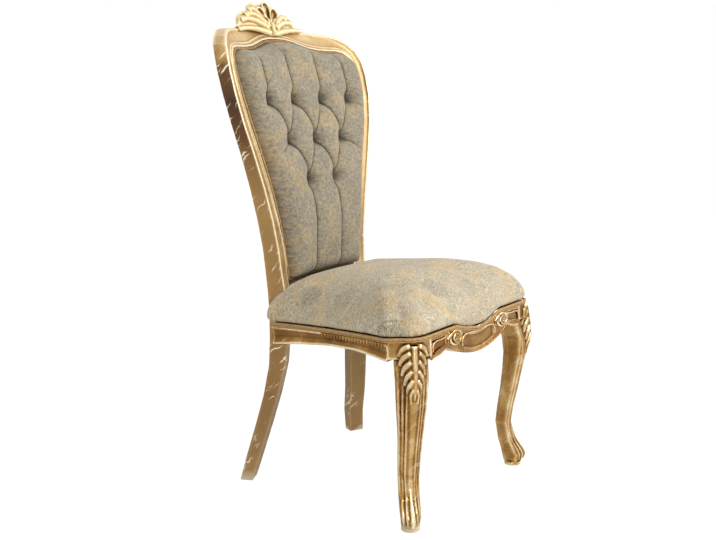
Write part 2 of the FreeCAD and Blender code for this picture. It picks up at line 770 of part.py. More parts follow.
# Carved medallions on the front rail
medallionShares = [
    (-0.46, -0.10), (-0.50, 0.10), (-0.38, 0.26), (-0.30, 0.44), (-0.12, 0.42), (0.04, 0.50),
    (0.20, 0.40), (0.38, 0.42), (0.42, 0.22), (0.50, 0.06), (0.42, -0.08), (0.40, -0.26),
    (0.24, -0.34), (0.14, -0.50), (0.00, -0.42), (-0.16, -0.48), (-0.24, -0.34), (-0.40, -0.28),
]


def medallionShape():
    width, height, relief = size("medallionWidth"), size("medallionHeight"), size("medallionRelief")
    plate = prism(shareOutline(medallionShares, width, height), vec(0, 0), vec(0, -relief))
    dome = size("medallionDome")
    plate = plate.common(Part.makeSphere(dome, vec(0, dome - relief)))
    radius, thickness = size("scrollRadius"), size("scrollThickness")
    ring, hollow = [Part.makeCylinder(reach, relief + thickness, vec(0, 0), vec(0, -1))
                    for reach in (radius + thickness, radius - thickness)]
    medallion = plate.fuse(ring.cut(hollow))
    across = railHalfSpan - size("apronShoulder") - size("medallionInset")
    medallion.translate(vec(across, size("railInset"), -size("medallionDrop")))
    return medallion


medallion = addShape("Medallion", medallionShape(), seatPlacement)
medallion = keep(cutBy("rail_medallion_right", medallion, [frontRail]), "rail_medallion_right")
mirrorPiece(medallion, "rail_medallion_left")


# Seat cushion: shares of cushionRise and of the outline, drawn in towards a point over the middle
cushionShares = [
    (0.00, 0.995), (0.07, 1.010), (0.16, 1.010), (0.30, 0.985), (0.50, 0.925), (0.70, 0.810),
    (0.85, 0.645), (0.95, 0.430), (1.00, 0.120),
]


def cushionShape():
    middle = vec(0, size("seatDepth") / 2)
    outline = []
    for edge in seatEdges:
        outline += chordsAlong(*edge) if len(edge) == 3 else [edge]
    wires = []
    for rise, spread in cushionShares:
        lift = vec(0, 0, size("cushionRise") * rise)
        wires.append(closedWire([[middle + (p - middle) * spread + lift for p in edge] for edge in outline]))
    crown = loftThrough(wires)
    return crown.fuse(dipRegion(0.0, 0.0, fallDepth - fit))


cushion = cutBy("seat_cushion", addShape("CushionBlank", cushionShape(), seatPlacement), postRooms)
keep(cushion, "seat_cushion")


# Braid under the cushion along the front and the sides, following the dip at the front
def braidShape():
    outer = seatFaceInset(-size("braidProud"))
    inner = seatFaceInset(size("braidThickness") - size("braidProud"))
    ring = prism(outer.cut(inner), vec(0, 0, braidBottom - size("frontDip")), vec(0, 0, webbingTop))
    half = size("seatWidth")
    setback = size("widestSetback")
    corners = [vec(half, 0, webbingTop), vec(-half, 0, webbingTop)]
    corners += [vec(-half, 0, braidBottom), vec(half, 0, braidBottom)]
    upper = dipEdges(-webbingTop)
    lower = [tuple(reversed(edge)) for edge in reversed(dipEdges(-braidBottom))]
    band = ([(corners[0], upper[0][0])] + upper + [(upper[-1][-1], corners[1]), (corners[1], corners[2]),
            (corners[2], lower[0][0])] + lower + [(lower[-1][-1], corners[3]), (corners[3], corners[0])])
    masks = [prism(Part.Face(closedWire(band)), vec(0, -overrun), vec(0, setback))]
    near = size("seatRearWidth") / 2 - overrun
    rear = size("seatDepth") + overrun
    masks.append(seatBox(vec(near, setback, braidBottom), vec(half, rear, webbingTop)))
    masks.append(seatBox(vec(-half, setback, braidBottom), vec(-near, rear, webbingTop)))
    return ring.common(masks[0].multiFuse(masks[1:]))


braid = cutBy("seat_gimp", addShape("SeatBraid", braidShape(), seatPlacement), postRooms)
keep(braid, "seat_gimp")
doc.recompute()

# Webbing under the cushion, straps across and along, and the dust cover below
acrossStrapShares = [0.18, 0.36, 0.54, 0.72, 0.90]
alongStrapShares = [-0.56, -0.28, 0.0, 0.28, 0.56]


def webbingShape():
    half = size("webbingWidth") / 2
    thickness = size("webbingThickness")
    far = size("seatWidth")
    boxes = []
    for share in acrossStrapShares:
        y = size("seatDepth") * share
        boxes.append(seatBox(vec(-far, y - half, lowerWebbingTop - thickness),
                             vec(far, y + half, lowerWebbingTop)))
    for share in alongStrapShares:
        x = size("seatWidth") / 2 * share
        boxes.append(seatBox(vec(x - half, -far, webbingTop - thickness), vec(x + half, far, webbingTop)))
    region = seatRegion(size("webbingInset"), -overrun, overrun)
    straps = []
    for box in boxes:
        straps += placed(region.common(box)).cut([room.Shape for room in postRooms]).Solids
    return Part.makeCompound(straps)


keep(addShape("seat_webbing", webbingShape()), "seat_webbing")
innerInset = size("railInset") + size("railThickness") + fit


def insideRails(shape):
    # Trims what lies between the rails so that it clears the legs, the posts and the rear rail
    legs = [legBlock(fit), legLoft(fit)]
    legs += [leg.mirror(vec(0, 0), vec(1, 0)) for leg in legs]
    behind = placed(seatBox(vec(-size("seatWidth"), size("rearRailSetback") - fit, -size("seatHeight")),
                            vec(size("seatWidth"), size("seatDepth") + size("seatHeight"), overrun)))
    return shape.cut(legs + [room.Shape for room in postRooms] + [behind])


coverTop = -size("dustCoverDrop")
dustCover = placed(seatRegion(innerInset, coverTop - size("dustCoverThickness"), coverTop))
keep(addShape("dust_cover", insideRails(dustCover)), "dust_cover")


# Glue blocks in the four corners, laid across the corner of leg or post
def cornerBlocks():
    reach = size("cornerBlockReach")
    front = [vec(railHalfSpan - reach, innerInset), vec(size("seatWidth") / 2, innerInset),
             vec(size("seatWidth") / 2, size("widestSetback") + reach),
             vec(railHalfSpan, size("widestSetback") + reach / 2)]
    rearSide = size("seatRearWidth") / 2
    rearLine = size("rearRailSetback")
    rear = [vec(rearSide - 2 * reach, rearLine), vec(rearSide, rearLine), vec(rearSide, rearLine - 2 * reach),
            vec(rearSide - size("railThickness"), rearLine - 2 * reach)]
    blocks = []
    for corner in (front, rear):
        face = Part.Face(Part.makePolygon(corner + corner[:1]))
        block = prism(face, vec(0, 0, coverTop + fit), vec(0, 0, railTop - fit))
        block = insideRails(placed(block.common(seatRegion(innerInset, -2 * overrun, overrun))))
        block = max(block.Solids, key=lambda solid: solid.Volume)
        blocks += [block, block.mirror(vec(0, 0), vec(1, 0))]
    return Part.makeCompound(blocks)


keep(addShape("corner_blocks", cornerBlocks()), "corner_blocks")


# Opening of the back at a depth behind the frame's front face, widened as the frame's sides turn
def openingPoints(depth, bottom):
    points = []
    for shares in postShares[5:]:
        inner, across, width, full, moulding = postStation(shares)
        points.append(vec(inner.x - depth * across.y, 0, inner.z))
    below = [p for p in points if p.z < bottom]
    first, second = below[-1], points[len(below)]
    share = (bottom - first.z) / (second.z - first.z)
    points = [first + (second - first) * share] + points[len(below):]
    for opening, outer, full, back in topRailStations()[1:]:
        points.append(vec(opening.x + depth * back.x, 0, opening.z))
    return points


def openingFace(depth, bottom, inset):
    right = openingPoints(depth, bottom)
    first = [tuple(right[:2])] if len(right) % 2 == 0 else []
    right = first + arcsThrough(right[len(first):])
    left = [tuple(flip(edge)) for edge in reversed(right)]
    face = Part.Face(closedWire(right + left + [(left[-1][-1], right[0][0])]))
    return Part.Face(face.makeOffset2D(-inset).OuterWire) if inset else face


levelShares = [0.0, 0.17, 0.35, 0.52, 0.68, 0.84, 1.0]


def backLayer(start, end, face):
    # A layer between two depths behind the hollow front face, trimmed to a face seen from the front
    half = size("backWidth") / 2
    bottom = size("backCoverBottomHeight") - overrun
    rise = size("topRailHeight") - bottom
    wires = []
    for share in levelShares:
        z = bottom + rise * share
        front = [vec(x, backFace(x, z) + start, z) for x in (-half, 0, half)]
        behind = [p + vec(0, end - start) for p in reversed(front)]
        wires.append(closedWire([tuple(front), (front[2], behind[0]), tuple(behind), (behind[2], front[0])]))
    layer = loftThrough(wires)
    return layer.common(prism(face, vec(0, -size("seatFront")), vec(0, 2 * size("seatFront"))))


def ringFace(depth, bottom, inset, width):
    return openingFace(depth, bottom, inset).cut(openingFace(depth, bottom, inset + width))


clearance = size("openingClearance")
padBottom = size("padBottomHeight")
coverBottom = size("backCoverBottomHeight")
braidWidth = size("backBraidWidth")
braidThickness = size("backBraidThickness")
innerEdge = clearance + braidWidth + fit
braidDepth = size("backBraidSetback")
boardDepth = size("padBack") + fit
lowerRailDepth = boardDepth + size("backBoardThickness") + fit
coverDepth = lowerRailDepth + size("lowerRailThickness") + fit
boardThickness = size("backBoardThickness")
lowerRailThickness = size("lowerRailThickness")
backBraid = backLayer(braidDepth, braidDepth + braidThickness,
                      ringFace(braidDepth, padBottom, clearance, braidWidth))
keep(addShape("back_gimp", backBraid), "back_gimp")
backBoard = backLayer(boardDepth, boardDepth + boardThickness, openingFace(boardDepth, padBottom, clearance))
keep(addShape("back_board", backBoard), "back_board")
lowerRail = backLayer(lowerRailDepth, lowerRailDepth + lowerRailThickness,
                      openingFace(lowerRailDepth, padBottom, -size("lowerRailReach")))
lowerRailTop = padBottom + size("lowerRailHeight")
lowerRail = lowerRail.common(seatBox(vec(-size("backWidth"), -size("seatFront"), padBottom),
                                     vec(size("backWidth"), 2 * size("seatFront"), lowerRailTop)))
keep(cutBy("back_lower_rail", addShape("LowerRailBlank", lowerRail), postRooms), "back_lower_rail")
outsideBraid = backLayer(coverDepth, coverDepth + braidThickness,
                         ringFace(coverDepth, coverBottom, clearance, braidWidth))
keep(addShape("outside_back_gimp", outsideBraid), "outside_back_gimp")
outsideCover = backLayer(coverDepth, coverDepth + size("backCoverThickness"),
                         openingFace(coverDepth, coverBottom, innerEdge))
keep(addShape("outside_back_cover", outsideCover), "outside_back_cover")
coverSpace = backLayer(coverDepth - fit, coverDepth + overrun, openingFace(coverDepth, coverBottom - fit, 0.0))
coverRoom = addShape("CoverRoom", coverSpace)
keep(cutBy("rear_seat_rail", rearRail, [*postRooms, coverRoom]), "rear_seat_rail")

# Tufted pad, level by level from below: rows of tufts above the top one, the share of padStuffing,
# the places of three folds of the right half in tuft spacings, and the share of pleatDepth
padRowShares = [
    (-4.6, 0.60, 0.50, 0.50, 0.50, 1.0),
    (-3.6, 0.86, 0.50, 0.50, 0.50, 1.0),
    (-2.6, 1.00, 0.50, 0.50, 0.50, 1.0),
    (-2.0, 1.00, 0.50, 0.50, 0.50, 0.0),
    (-1.5, 1.00, 0.76, 0.76, 0.24, 0.8),
    (-1.0, 1.00, 1.00, 1.00, 0.00, 0.0),
    (-0.5, 1.00, 1.26, 0.76, 0.26, 0.8),
    (0.0, 1.00, 1.52, 0.53, 0.53, 0.0),
    (0.55, 1.00, 1.52, 0.53, 0.53, 0.9),
    (1.0, 0.80, 1.52, 0.53, 0.53, 1.0),
    (1.3, 0.45, 1.50, 0.53, 0.53, 1.0),
    (1.65, 0.10, 1.48, 0.53, 0.53, 1.0),
]
tuftShares = [(0.0, 0.53), (0.0, 1.52), (-1.0, 0.0), (-1.0, 1.0), (-2.0, 0.5)]
edgeSwellShares = (0.72, 0.62)
steepestPuffShare = 0.3


def edgeAcross(height):
    points = openingPoints(0.0, padBottom)
    above = [index for index, place in enumerate(points) if place.z > height]
    high = points[above[0]]
    low = points[max(above[0] - 1, 0)]
    share = (height - low.z) / (high.z - low.z) if high.z > low.z else 1.0
    return low.x + (high.x - low.x) * share


def stuffing(across, edge, swell):
    return size("padStuffing") * swell * max(1 - (across / edge) ** 2, 0.0)


def padSection(row):
    level, swell, first, second, third, pleat = row
    z = size("tuftTopHeight") + size("tuftRowSpacing") * level
    edge = edgeAcross(min(z, size("postHeight")))
    fold = size("foldWidth")
    step = size("tuftSpacing")
    outerFold = step * first + fold / 2
    middleFold = min(step * second, outerFold - fold / 2)
    innerFold = max(min(step * third - fold / 2, middleFold - fold / 2), fold / 2)
    lift = size("pleatDepth") * pleat * swell
    right = [vec(edge, backFace(edge, z) + size("padSetback"), z)]
    places = [edge, outerFold, middleFold, innerFold, -innerFold]
    for outer, inner in zip(places, places[1:]):
        width = outer - inner
        puff = lift + min((size("padPuff") * swell - lift) * sqrt(width / step), width * steepestPuffShare)
        middle = (outer + inner) / 2
        depth = stuffing(middle, edge, swell)
        if outer == edge:
            middle = inner + width * edgeSwellShares[0]
            depth = stuffing(inner, edge, swell) * edgeSwellShares[1]
        right.append(vec(middle, backFace(middle, z) - depth - puff, z))
        right.append(vec(inner, backFace(inner, z) - stuffing(inner, edge, swell) - lift, z))
    front = right[:-1] + flip(right[:-2])
    back = vec(0, size("padBack") - size("padSetback"))
    behind = [front[-1] + back, vec(0, backFace(0, z) + size("padBack"), z), front[0] + back]
    puffs = [chord for arc in arcsThrough(front) for chord in chordsAlong(*arc)]
    return closedWire(puffs + [(front[-1], behind[0])] + chordsAlong(*behind) + [(behind[2], front[0])])


def tuftPlaces():
    places = []
    for level, share in tuftShares:
        z = size("tuftTopHeight") + size("tuftRowSpacing") * level
        x = size("tuftSpacing") * share
        place = vec(x, backFace(x, z) - stuffing(x, edgeAcross(z), 1.0), z)
        places += [place] if not x else [place] + flip([place])
    return places


def buttons(grow):
    length = size("tuftButtonHeight") + (overrun if grow else 0)
    radius = size("tuftButtonRadius") + grow
    return [Part.makeCylinder(radius, length, place + vec(0, grow), vec(0, -1)) for place in tuftPlaces()]


def padShape():
    pad = loftThrough([padSection(row) for row in padRowShares])
    face = openingFace(0.0, padBottom, innerEdge)
    pad = pad.common(prism(face, vec(0, -size("seatFront")), vec(0, 2 * size("seatFront"))))
    return pad.cut(buttons(fit))


keep(addShape("back_pad", padShape()), "back_pad")
keep(addShape("tuft_buttons", Part.makeCompound(buttons(0.0))), "tuft_buttons")

doc.recompute()
problems = [item.Name for item in doc.Objects if "Invalid" in item.State or "Error" in item.State]
for piece in pieces:
    if piece.Shape.isNull() or not piece.Shape.isValid() or not piece.Shape.Solids:
        problems.append(piece.Label)
for piece in pieces:
    box = piece.Shape.BoundBox
    print(f"{piece.Label:24s} solids {len(piece.Shape.Solids)} volume {piece.Shape.Volume / 1000:9.1f} "
          f"x {box.XMin:7.1f} {box.XMax:7.1f} y {box.YMin:7.1f} {box.YMax:7.1f} "
          f"z {box.ZMin:7.1f} {box.ZMax:7.1f}")
print("problems:", problems)
if problems:
    raise RuntimeError(f"These did not build: {problems}")

os.makedirs("parts", exist_ok=True)
for piece in pieces:
    piece.Shape.exportStep(f"parts/{piece.Label}.step")
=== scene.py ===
import math
import bmesh
import bpy
import numpy as np
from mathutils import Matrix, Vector
from mathutils.bvhtree import BVHTree


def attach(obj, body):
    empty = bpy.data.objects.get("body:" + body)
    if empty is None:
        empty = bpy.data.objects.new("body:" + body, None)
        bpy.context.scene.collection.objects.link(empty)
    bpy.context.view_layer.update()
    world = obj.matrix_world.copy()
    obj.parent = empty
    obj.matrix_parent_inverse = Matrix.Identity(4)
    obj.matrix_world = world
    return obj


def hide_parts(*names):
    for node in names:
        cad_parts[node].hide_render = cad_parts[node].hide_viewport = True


# Gilt rococo side chair with a crowned damask seat and a diamond tufted back
# Metres, Z up, front at negative Y

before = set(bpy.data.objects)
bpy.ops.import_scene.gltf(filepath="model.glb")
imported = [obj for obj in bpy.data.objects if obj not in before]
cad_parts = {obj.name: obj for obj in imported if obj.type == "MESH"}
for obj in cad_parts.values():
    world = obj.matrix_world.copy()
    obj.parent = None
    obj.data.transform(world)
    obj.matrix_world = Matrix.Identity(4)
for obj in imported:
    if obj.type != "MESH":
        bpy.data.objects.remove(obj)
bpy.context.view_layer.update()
scene = bpy.context.scene
print("frame loaded")

camera = {
    "place": (-1.8744, -1.3291, 0.8944),
    "yaw": -54.377,
    "pitch": -10.219,
    "lens": 50.53,
}
studio = {
    "ambient": 0.50,
    "lamps": (
        # place, size, watts
        ((0.2, -2.7, 2.5), 1.2, 64),
        ((-2.6, -1.2, 1.2), 0.7, 12),
        ((1.9, -0.9, 2.0), 1.0, 12),
        ((0.3, 1.9, 2.4), 1.2, 9),
    ),
    "aim": (0, 0, 0.5),
    "floorSize": 24.0,
    "floorColour": "#F4F3F1",
    "floorWhiteShare": 0.82,
    "floorWhite": 1.13,
}


def linear(colour):
    channels = [int(colour[i:i + 2], 16) / 255 for i in (1, 3, 5)]
    return [c / 12.92 if c <= 0.04045 else ((c + 0.055) / 1.055) ** 2.4 for c in channels] + [1.0]


def newObject(name, data, material=None):
    piece = bpy.data.objects.new(name, data)
    scene.collection.objects.link(piece)
    if material:
        data.materials.clear()
        data.materials.append(material)
    return piece


def addNode(tree, kind, inputs=None, stops=None, **settings):
    # Inputs are values or the sockets that feed them; stops are the places and colours of a ramp
    node = tree.nodes.new(kind)
    for name, value in settings.items():
        setattr(node, name, value)
    for key, value in (inputs or {}).items():
        if isinstance(value, bpy.types.NodeSocket):
            tree.links.new(value, node.inputs[key])
        else:
            node.inputs[key].default_value = value
    if stops:
        while len(node.color_ramp.elements) < len(stops):
            node.color_ramp.elements.new(0.5)
        for element, (place, colour) in zip(node.color_ramp.elements, stops):
            element.position = place
            element.color = linear(colour) if isinstance(colour, str) else (colour, colour, colour, 1)
    return node


class Shader:
    # The nodes of a material or a world, with short forms of those used most; each gives back an output
    def __init__(self, owner):
        owner.use_nodes = True
        owner.node_tree.nodes.clear()
        self.owner = owner
        self.tree = owner.node_tree

    def add(self, kind, inputs=None, output=0, **settings):
        return addNode(self.tree, kind, inputs, **settings).outputs[output]

    def maths(self, operation, *inputs, clamp=False):
        return self.add("ShaderNodeMath", dict(enumerate(inputs)), operation=operation, use_clamp=clamp)

    def about(self, value, amount):
        # A value from 0 to 1 as a rise and fall about nothing
        return self.maths("MULTIPLY_ADD", value, amount, -amount / 2)

    def noise(self, place, scale, detail, rough=0.5, distortion=0.0, output="Fac"):
        return self.add("ShaderNodeTexNoise", {"Vector": place, "Scale": scale, "Detail": detail,
                                               "Roughness": rough, "Distortion": distortion}, output)

    def ranged(self, value, low, high, bottom=0.0, top=1.0):
        return self.add("ShaderNodeMapRange", {"Value": value, "From Min": low, "From Max": high,
                                               "To Min": bottom, "To Max": top})

    def ramp(self, value, stops):
        return self.add("ShaderNodeValToRGB", {"Fac": value}, stops=stops)

    def mixed(self, share, first, second, blend="MIX"):
        inputs = {"Fac": share, "Color1": first, "Color2": second}
        return self.add("ShaderNodeMixRGB", inputs, blend_type=blend)

    def axes(self, vector):
        return addNode(self.tree, "ShaderNodeSeparateXYZ", {0: vector}).outputs

    def relief(self):
        return self.add("ShaderNodeAttribute", None, "Fac", attribute_name="relief")

    def bump(self, height, distance, strength, under=None):
        inputs = {"Height": height, "Distance": distance, "Strength": strength}
        if under:
            inputs["Normal"] = under
        return self.add("ShaderNodeBump", inputs)

    def surface(self, inputs):
        shader = self.add("ShaderNodeBsdfPrincipled", inputs)
        addNode(self.tree, "ShaderNodeOutputMaterial", {"Surface": shader})
        return self.owner


# Studio
def makeStudio():
    cameraData = bpy.data.cameras.new("photoCamera")
    cameraData.lens = camera["lens"]
    cameraData.sensor_width = 36
    cameraObject = newObject("photoCamera", cameraData)
    cameraObject.location = camera["place"]
    cameraObject.rotation_euler = (math.radians(90 + camera["pitch"]), 0, math.radians(camera["yaw"]))
    scene.camera = cameraObject
    scene.view_settings.view_transform = "Standard"

    scene.world = bpy.data.worlds.new("studio")
    world = Shader(scene.world)
    path = addNode(world.tree, "ShaderNodeLightPath").outputs
    seen = world.maths("MAXIMUM", path["Is Camera Ray"], path["Is Glossy Ray"])
    seen = world.maths("MAXIMUM", seen, path["Is Transmission Ray"])
    ambient = studio["ambient"]
    dim = world.add("ShaderNodeBackground", {"Color": (ambient, ambient, ambient, 1), "Strength": 1.0})
    white = world.add("ShaderNodeBackground", {"Color": (1, 1, 1, 1), "Strength": 1.0})
    mixed = world.add("ShaderNodeMixShader", {0: seen, 1: dim, 2: white})
    addNode(world.tree, "ShaderNodeOutputWorld", {"Surface": mixed})

    for number, (place, size, watts) in enumerate(studio["lamps"]):
        lamp = bpy.data.lights.new(f"softbox{number}", "AREA")
        lamp.size = size
        lamp.energy = watts
        lampObject = newObject(f"softbox{number}", lamp)
        lampObject.location = place
        aim = Vector(studio["aim"]) - Vector(place)
        lampObject.rotation_euler = aim.to_track_quat("-Z", "Y").to_euler()

    half = studio["floorSize"] / 2
    mesh = bpy.data.meshes.new("studioFloor")
    mesh.from_pydata([(-half, -half, 0), (half, -half, 0), (half, half, 0), (-half, half, 0)], [],
                     [(0, 1, 2, 3)])
    pale = Shader(bpy.data.materials.new("paleFloor"))
    path = addNode(pale.tree, "ShaderNodeLightPath").outputs
    share = pale.maths("MULTIPLY", path["Is Camera Ray"], studio["floorWhiteShare"])
    matt = pale.add("ShaderNodeBsdfDiffuse", {"Color": linear(studio["floorColour"])})
    white = pale.add("ShaderNodeEmission", {"Color": (1, 1, 1, 1), "Strength": studio["floorWhite"]})
    mixed = pale.add("ShaderNodeMixShader", {0: share, 1: matt, 2: white})
    addNode(pale.tree, "ShaderNodeOutputMaterial", {"Surface": mixed})
    newObject("studioFloor", mesh, pale.owner)


makeStudio()
print("studio ready")

# Finishes
giltColours = {
    # From hollow to ridge: the dark hollow tone is painted shade, the palest is painted highlight and worn
    # leaf
    "hollow": "#43260B",
    "mid": "#946830",
    "lit": "#C9A265",
    "rubbedAndHighlight": "#FBEFCC",
    "stops": (0.24, 0.45, 0.60, 0.80),
    "patchSize": 0.07,
    "mottle": 0.50,
    "fleckSize": 0.005,
    "speck": 0.14,
    # Streaks per metre along and across a scratch, its waver, and where it shows and breaks off
    "scratchAlong": 16.0,
    "scratchAcross": 150.0,
    "scratchWaver": 0.05,
    "scratchEdge": (0.61, 0.66),
    "breakScale": 12.0,
    "breakEdge": (0.43, 0.53),
    "scratchDepth": 0.0008,
    "fleckDepth": 0.0004,
    "chip": "#DCCBA8",
    "chipHeight": 0.035,
    "chipScale": 22.0,
    "chipEdge": (0.60, 0.64),
}
# Outer sides of the back posts, painted shade and dark reflection mixed with wear: how far a face turns
# sideways, the heights below which the whole leg takes the darker tones, the blotches and the pale spots
sideShadeAndWear = {
    "turned": (0.60, 0.84),
    "legBelow": (0.46, 0.36),
    "legShare": 0.85,
    "ragged": 0.10,
    "blotch": (0.72, 1.35),
    "spotEdge": (0.66, 0.70),
    "spotShare": 0.6,
    # Tones by height in metres: a painted dark reflection band below the top and a painted highlight at the
    # top
    "tones": (
        (0.00, "#A98551"), (0.20, "#8D6A3A"), (0.42, "#A07A44"), (0.62, "#B08A52"), (0.72, "#9A7440"),
        (0.80, "#6B471F"), (0.88, "#4A2E12"), (0.94, "#6E4A20"), (0.972, "#C6A261"), (1.0, "#EBD6A6"),
    ),
}
# Front of the back frame and its crest: the same leaf in paler tones, a pale champagne
paleGiltColours = {
    **giltColours, "hollow": "#7E5A2C", "mid": "#C6A470", "lit": "#E2CB9C", "rubbedAndHighlight": "#F6E9CB",
    "stops": (0.16, 0.44, 0.64, 0.90)}
crestColours = {
    **paleGiltColours, "hollow": "#66461E", "mid": "#C2A06A", "lit": "#DFC796", "rubbedAndHighlight": "#EFDDB6",
    "stops": (0.22, 0.40, 0.58, 0.88)}


def giltFinish(name, values, metallic=0.72, roughness=0.28, wear=0.3, relief=True, sides=False):
    # Gold leaf over gesso on carved beech, with painted shade in the hollows and painted highlights on the
    # high places, which are also rubbed pale
    gilt = Shader(bpy.data.materials.new(name))
    place = gilt.add("ShaderNodeTexCoord", output="Object")
    level = gilt.axes(place)["Z"]
    patches = gilt.noise(place, 1 / values["patchSize"], 5.0, 0.6, 0.6)
    flecks = gilt.noise(place, 1 / values["fleckSize"], 4.0, 0.7)
    height = gilt.maths("ADD", gilt.about(patches, values["mottle"]), gilt.about(flecks, values["speck"]))
    # Relief darkens the hollows and pales the ridges: painted shade and painted highlight
    height = gilt.maths("ADD", height, gilt.relief() if relief else 0.5)
    tones = [values[key] for key in ("hollow", "mid", "lit", "rubbedAndHighlight")]
    tone = gilt.ramp(height, list(zip(values["stops"], tones)))
    if sides:
        # Painted shade and dark reflection on faces turned sideways, with wear; the legs below the seat
        # darker too
        ragged = gilt.maths("ADD", gilt.about(patches, sideShadeAndWear["ragged"]), level)
        blotch = gilt.ranged(height, 0.2, 0.9, *sideShadeAndWear["blotch"])
        shadedWear = gilt.mixed(1.0, gilt.ramp(ragged, sideShadeAndWear["tones"]), blotch, "MULTIPLY")
        facing = gilt.axes(gilt.add("ShaderNodeNewGeometry", output="Normal"))["X"]
        flank = gilt.ranged(gilt.maths("ABSOLUTE", facing), *sideShadeAndWear["turned"])
        below = gilt.ranged(level, *sideShadeAndWear["legBelow"], 0.0, sideShadeAndWear["legShare"])
        share = gilt.maths("MAXIMUM", flank, below)
        tone = gilt.mixed(share, tone, shadedWear)
    # Pale scratches where the leaf is worn through to the gesso: long thin streaks, rising to the front
    along, across = (gilt.add("ShaderNodeVectorMath", {0: place, 1: way}, "Value", operation="DOT_PRODUCT")
                     for way in ((0.0, -0.64, 0.77), (0.0, 0.77, 0.64)))
    across = gilt.maths("MULTIPLY_ADD", patches, values["scratchWaver"], across)
    streak = gilt.add("ShaderNodeCombineXYZ", {0: gilt.maths("MULTIPLY", along, values["scratchAlong"]),
                                               1: gilt.maths("MULTIPLY", across, values["scratchAcross"])})
    thin = gilt.ranged(gilt.noise(streak, 1.0, 1.5), *values["scratchEdge"])
    where = gilt.ranged(gilt.noise(place, values["breakScale"], 2.0), *values["breakEdge"], 0.0, wear)
    scratched = gilt.maths("MULTIPLY", thin, where)
    if sides:
        spots = gilt.ranged(flecks, *sideShadeAndWear["spotEdge"], 0.0, sideShadeAndWear["spotShare"])
        scratched = gilt.maths("MULTIPLY", gilt.maths("MAXIMUM", scratched, spots), share)
    colour = gilt.mixed(scratched, tone, linear(values["rubbedAndHighlight"]))
    # Chipped gesso round the foot
    near = gilt.ranged(level, 0.0, values["chipHeight"], 0.22, -0.1)
    torn = gilt.maths("ADD", near, gilt.noise(place, values["chipScale"], 3.0))
    chips = gilt.maths("MULTIPLY", gilt.ranged(torn, *values["chipEdge"]), near)
    chips = gilt.maths("MULTIPLY", chips, 5.0, clamp=True)
    colour = gilt.mixed(chips, colour, linear(values["chip"]))
    return gilt.surface({
        "Base Color": colour,
        "Metallic": gilt.maths("MULTIPLY_ADD", chips, -metallic, metallic),
        "Roughness": gilt.ranged(flecks, 0.3, 0.7, roughness - 0.05, roughness + 0.08),
        "Normal": gilt.bump(scratched, values["scratchDepth"], 0.4,
                            gilt.bump(flecks, values["fleckDepth"], 0.35)),
    })


# Seat cloth is the paler; both have the same figures
seatCloth = {
    "ground": "#B6AB95", "flower": "#8B8476", "strand": "#CFB182", "line": "#7A705B", "fleck": "#DFCDA8",
    "figures": 0.72, "flowerSize": 0.036, "flowerSpacing": 0.120, "leafScale": 8.0, "grainScale": 170.0,
    "flecks": 0.24, "lines": 0.80, "leafEdge": (0.530, 0.555), "lineSpacing": 72.0,
    # Noises by their scale per metre, and how far they bend, tear or cloud the figures
    "bendScale": 14.0, "bend": 0.03, "rimScale": 150.0, "rimTear": 0.010, "barbScale": 70.0, "barbs": 0.16,
    "lineScale": 26.0, "cloudScale": 24.0, "clouds": (0.86, 1.10), "threadScale": 900.0,
    # Petals of a flower, the draw from which a cell has one, and the width of its outline
    "petals": 5, "flowerDraw": (0.30, 0.40), "outline": (0.0008, 0.0030),
    # Shade in the folds, and the heights of the satin figures and the threads
    "folds": (0.12, 0.46, 0.30, 1.0), "satinHeight": 0.0010, "threadHeight": 0.0005,
}
backCloth = {**seatCloth, "ground": "#8E8777", "flower": "#7E7A70", "strand": "#AE986F", "line": "#615A4B",
             "fleck": "#C2AA7E", "figures": 0.45, "grainScale": 130.0, "flecks": 0.50, "lines": 0.34}


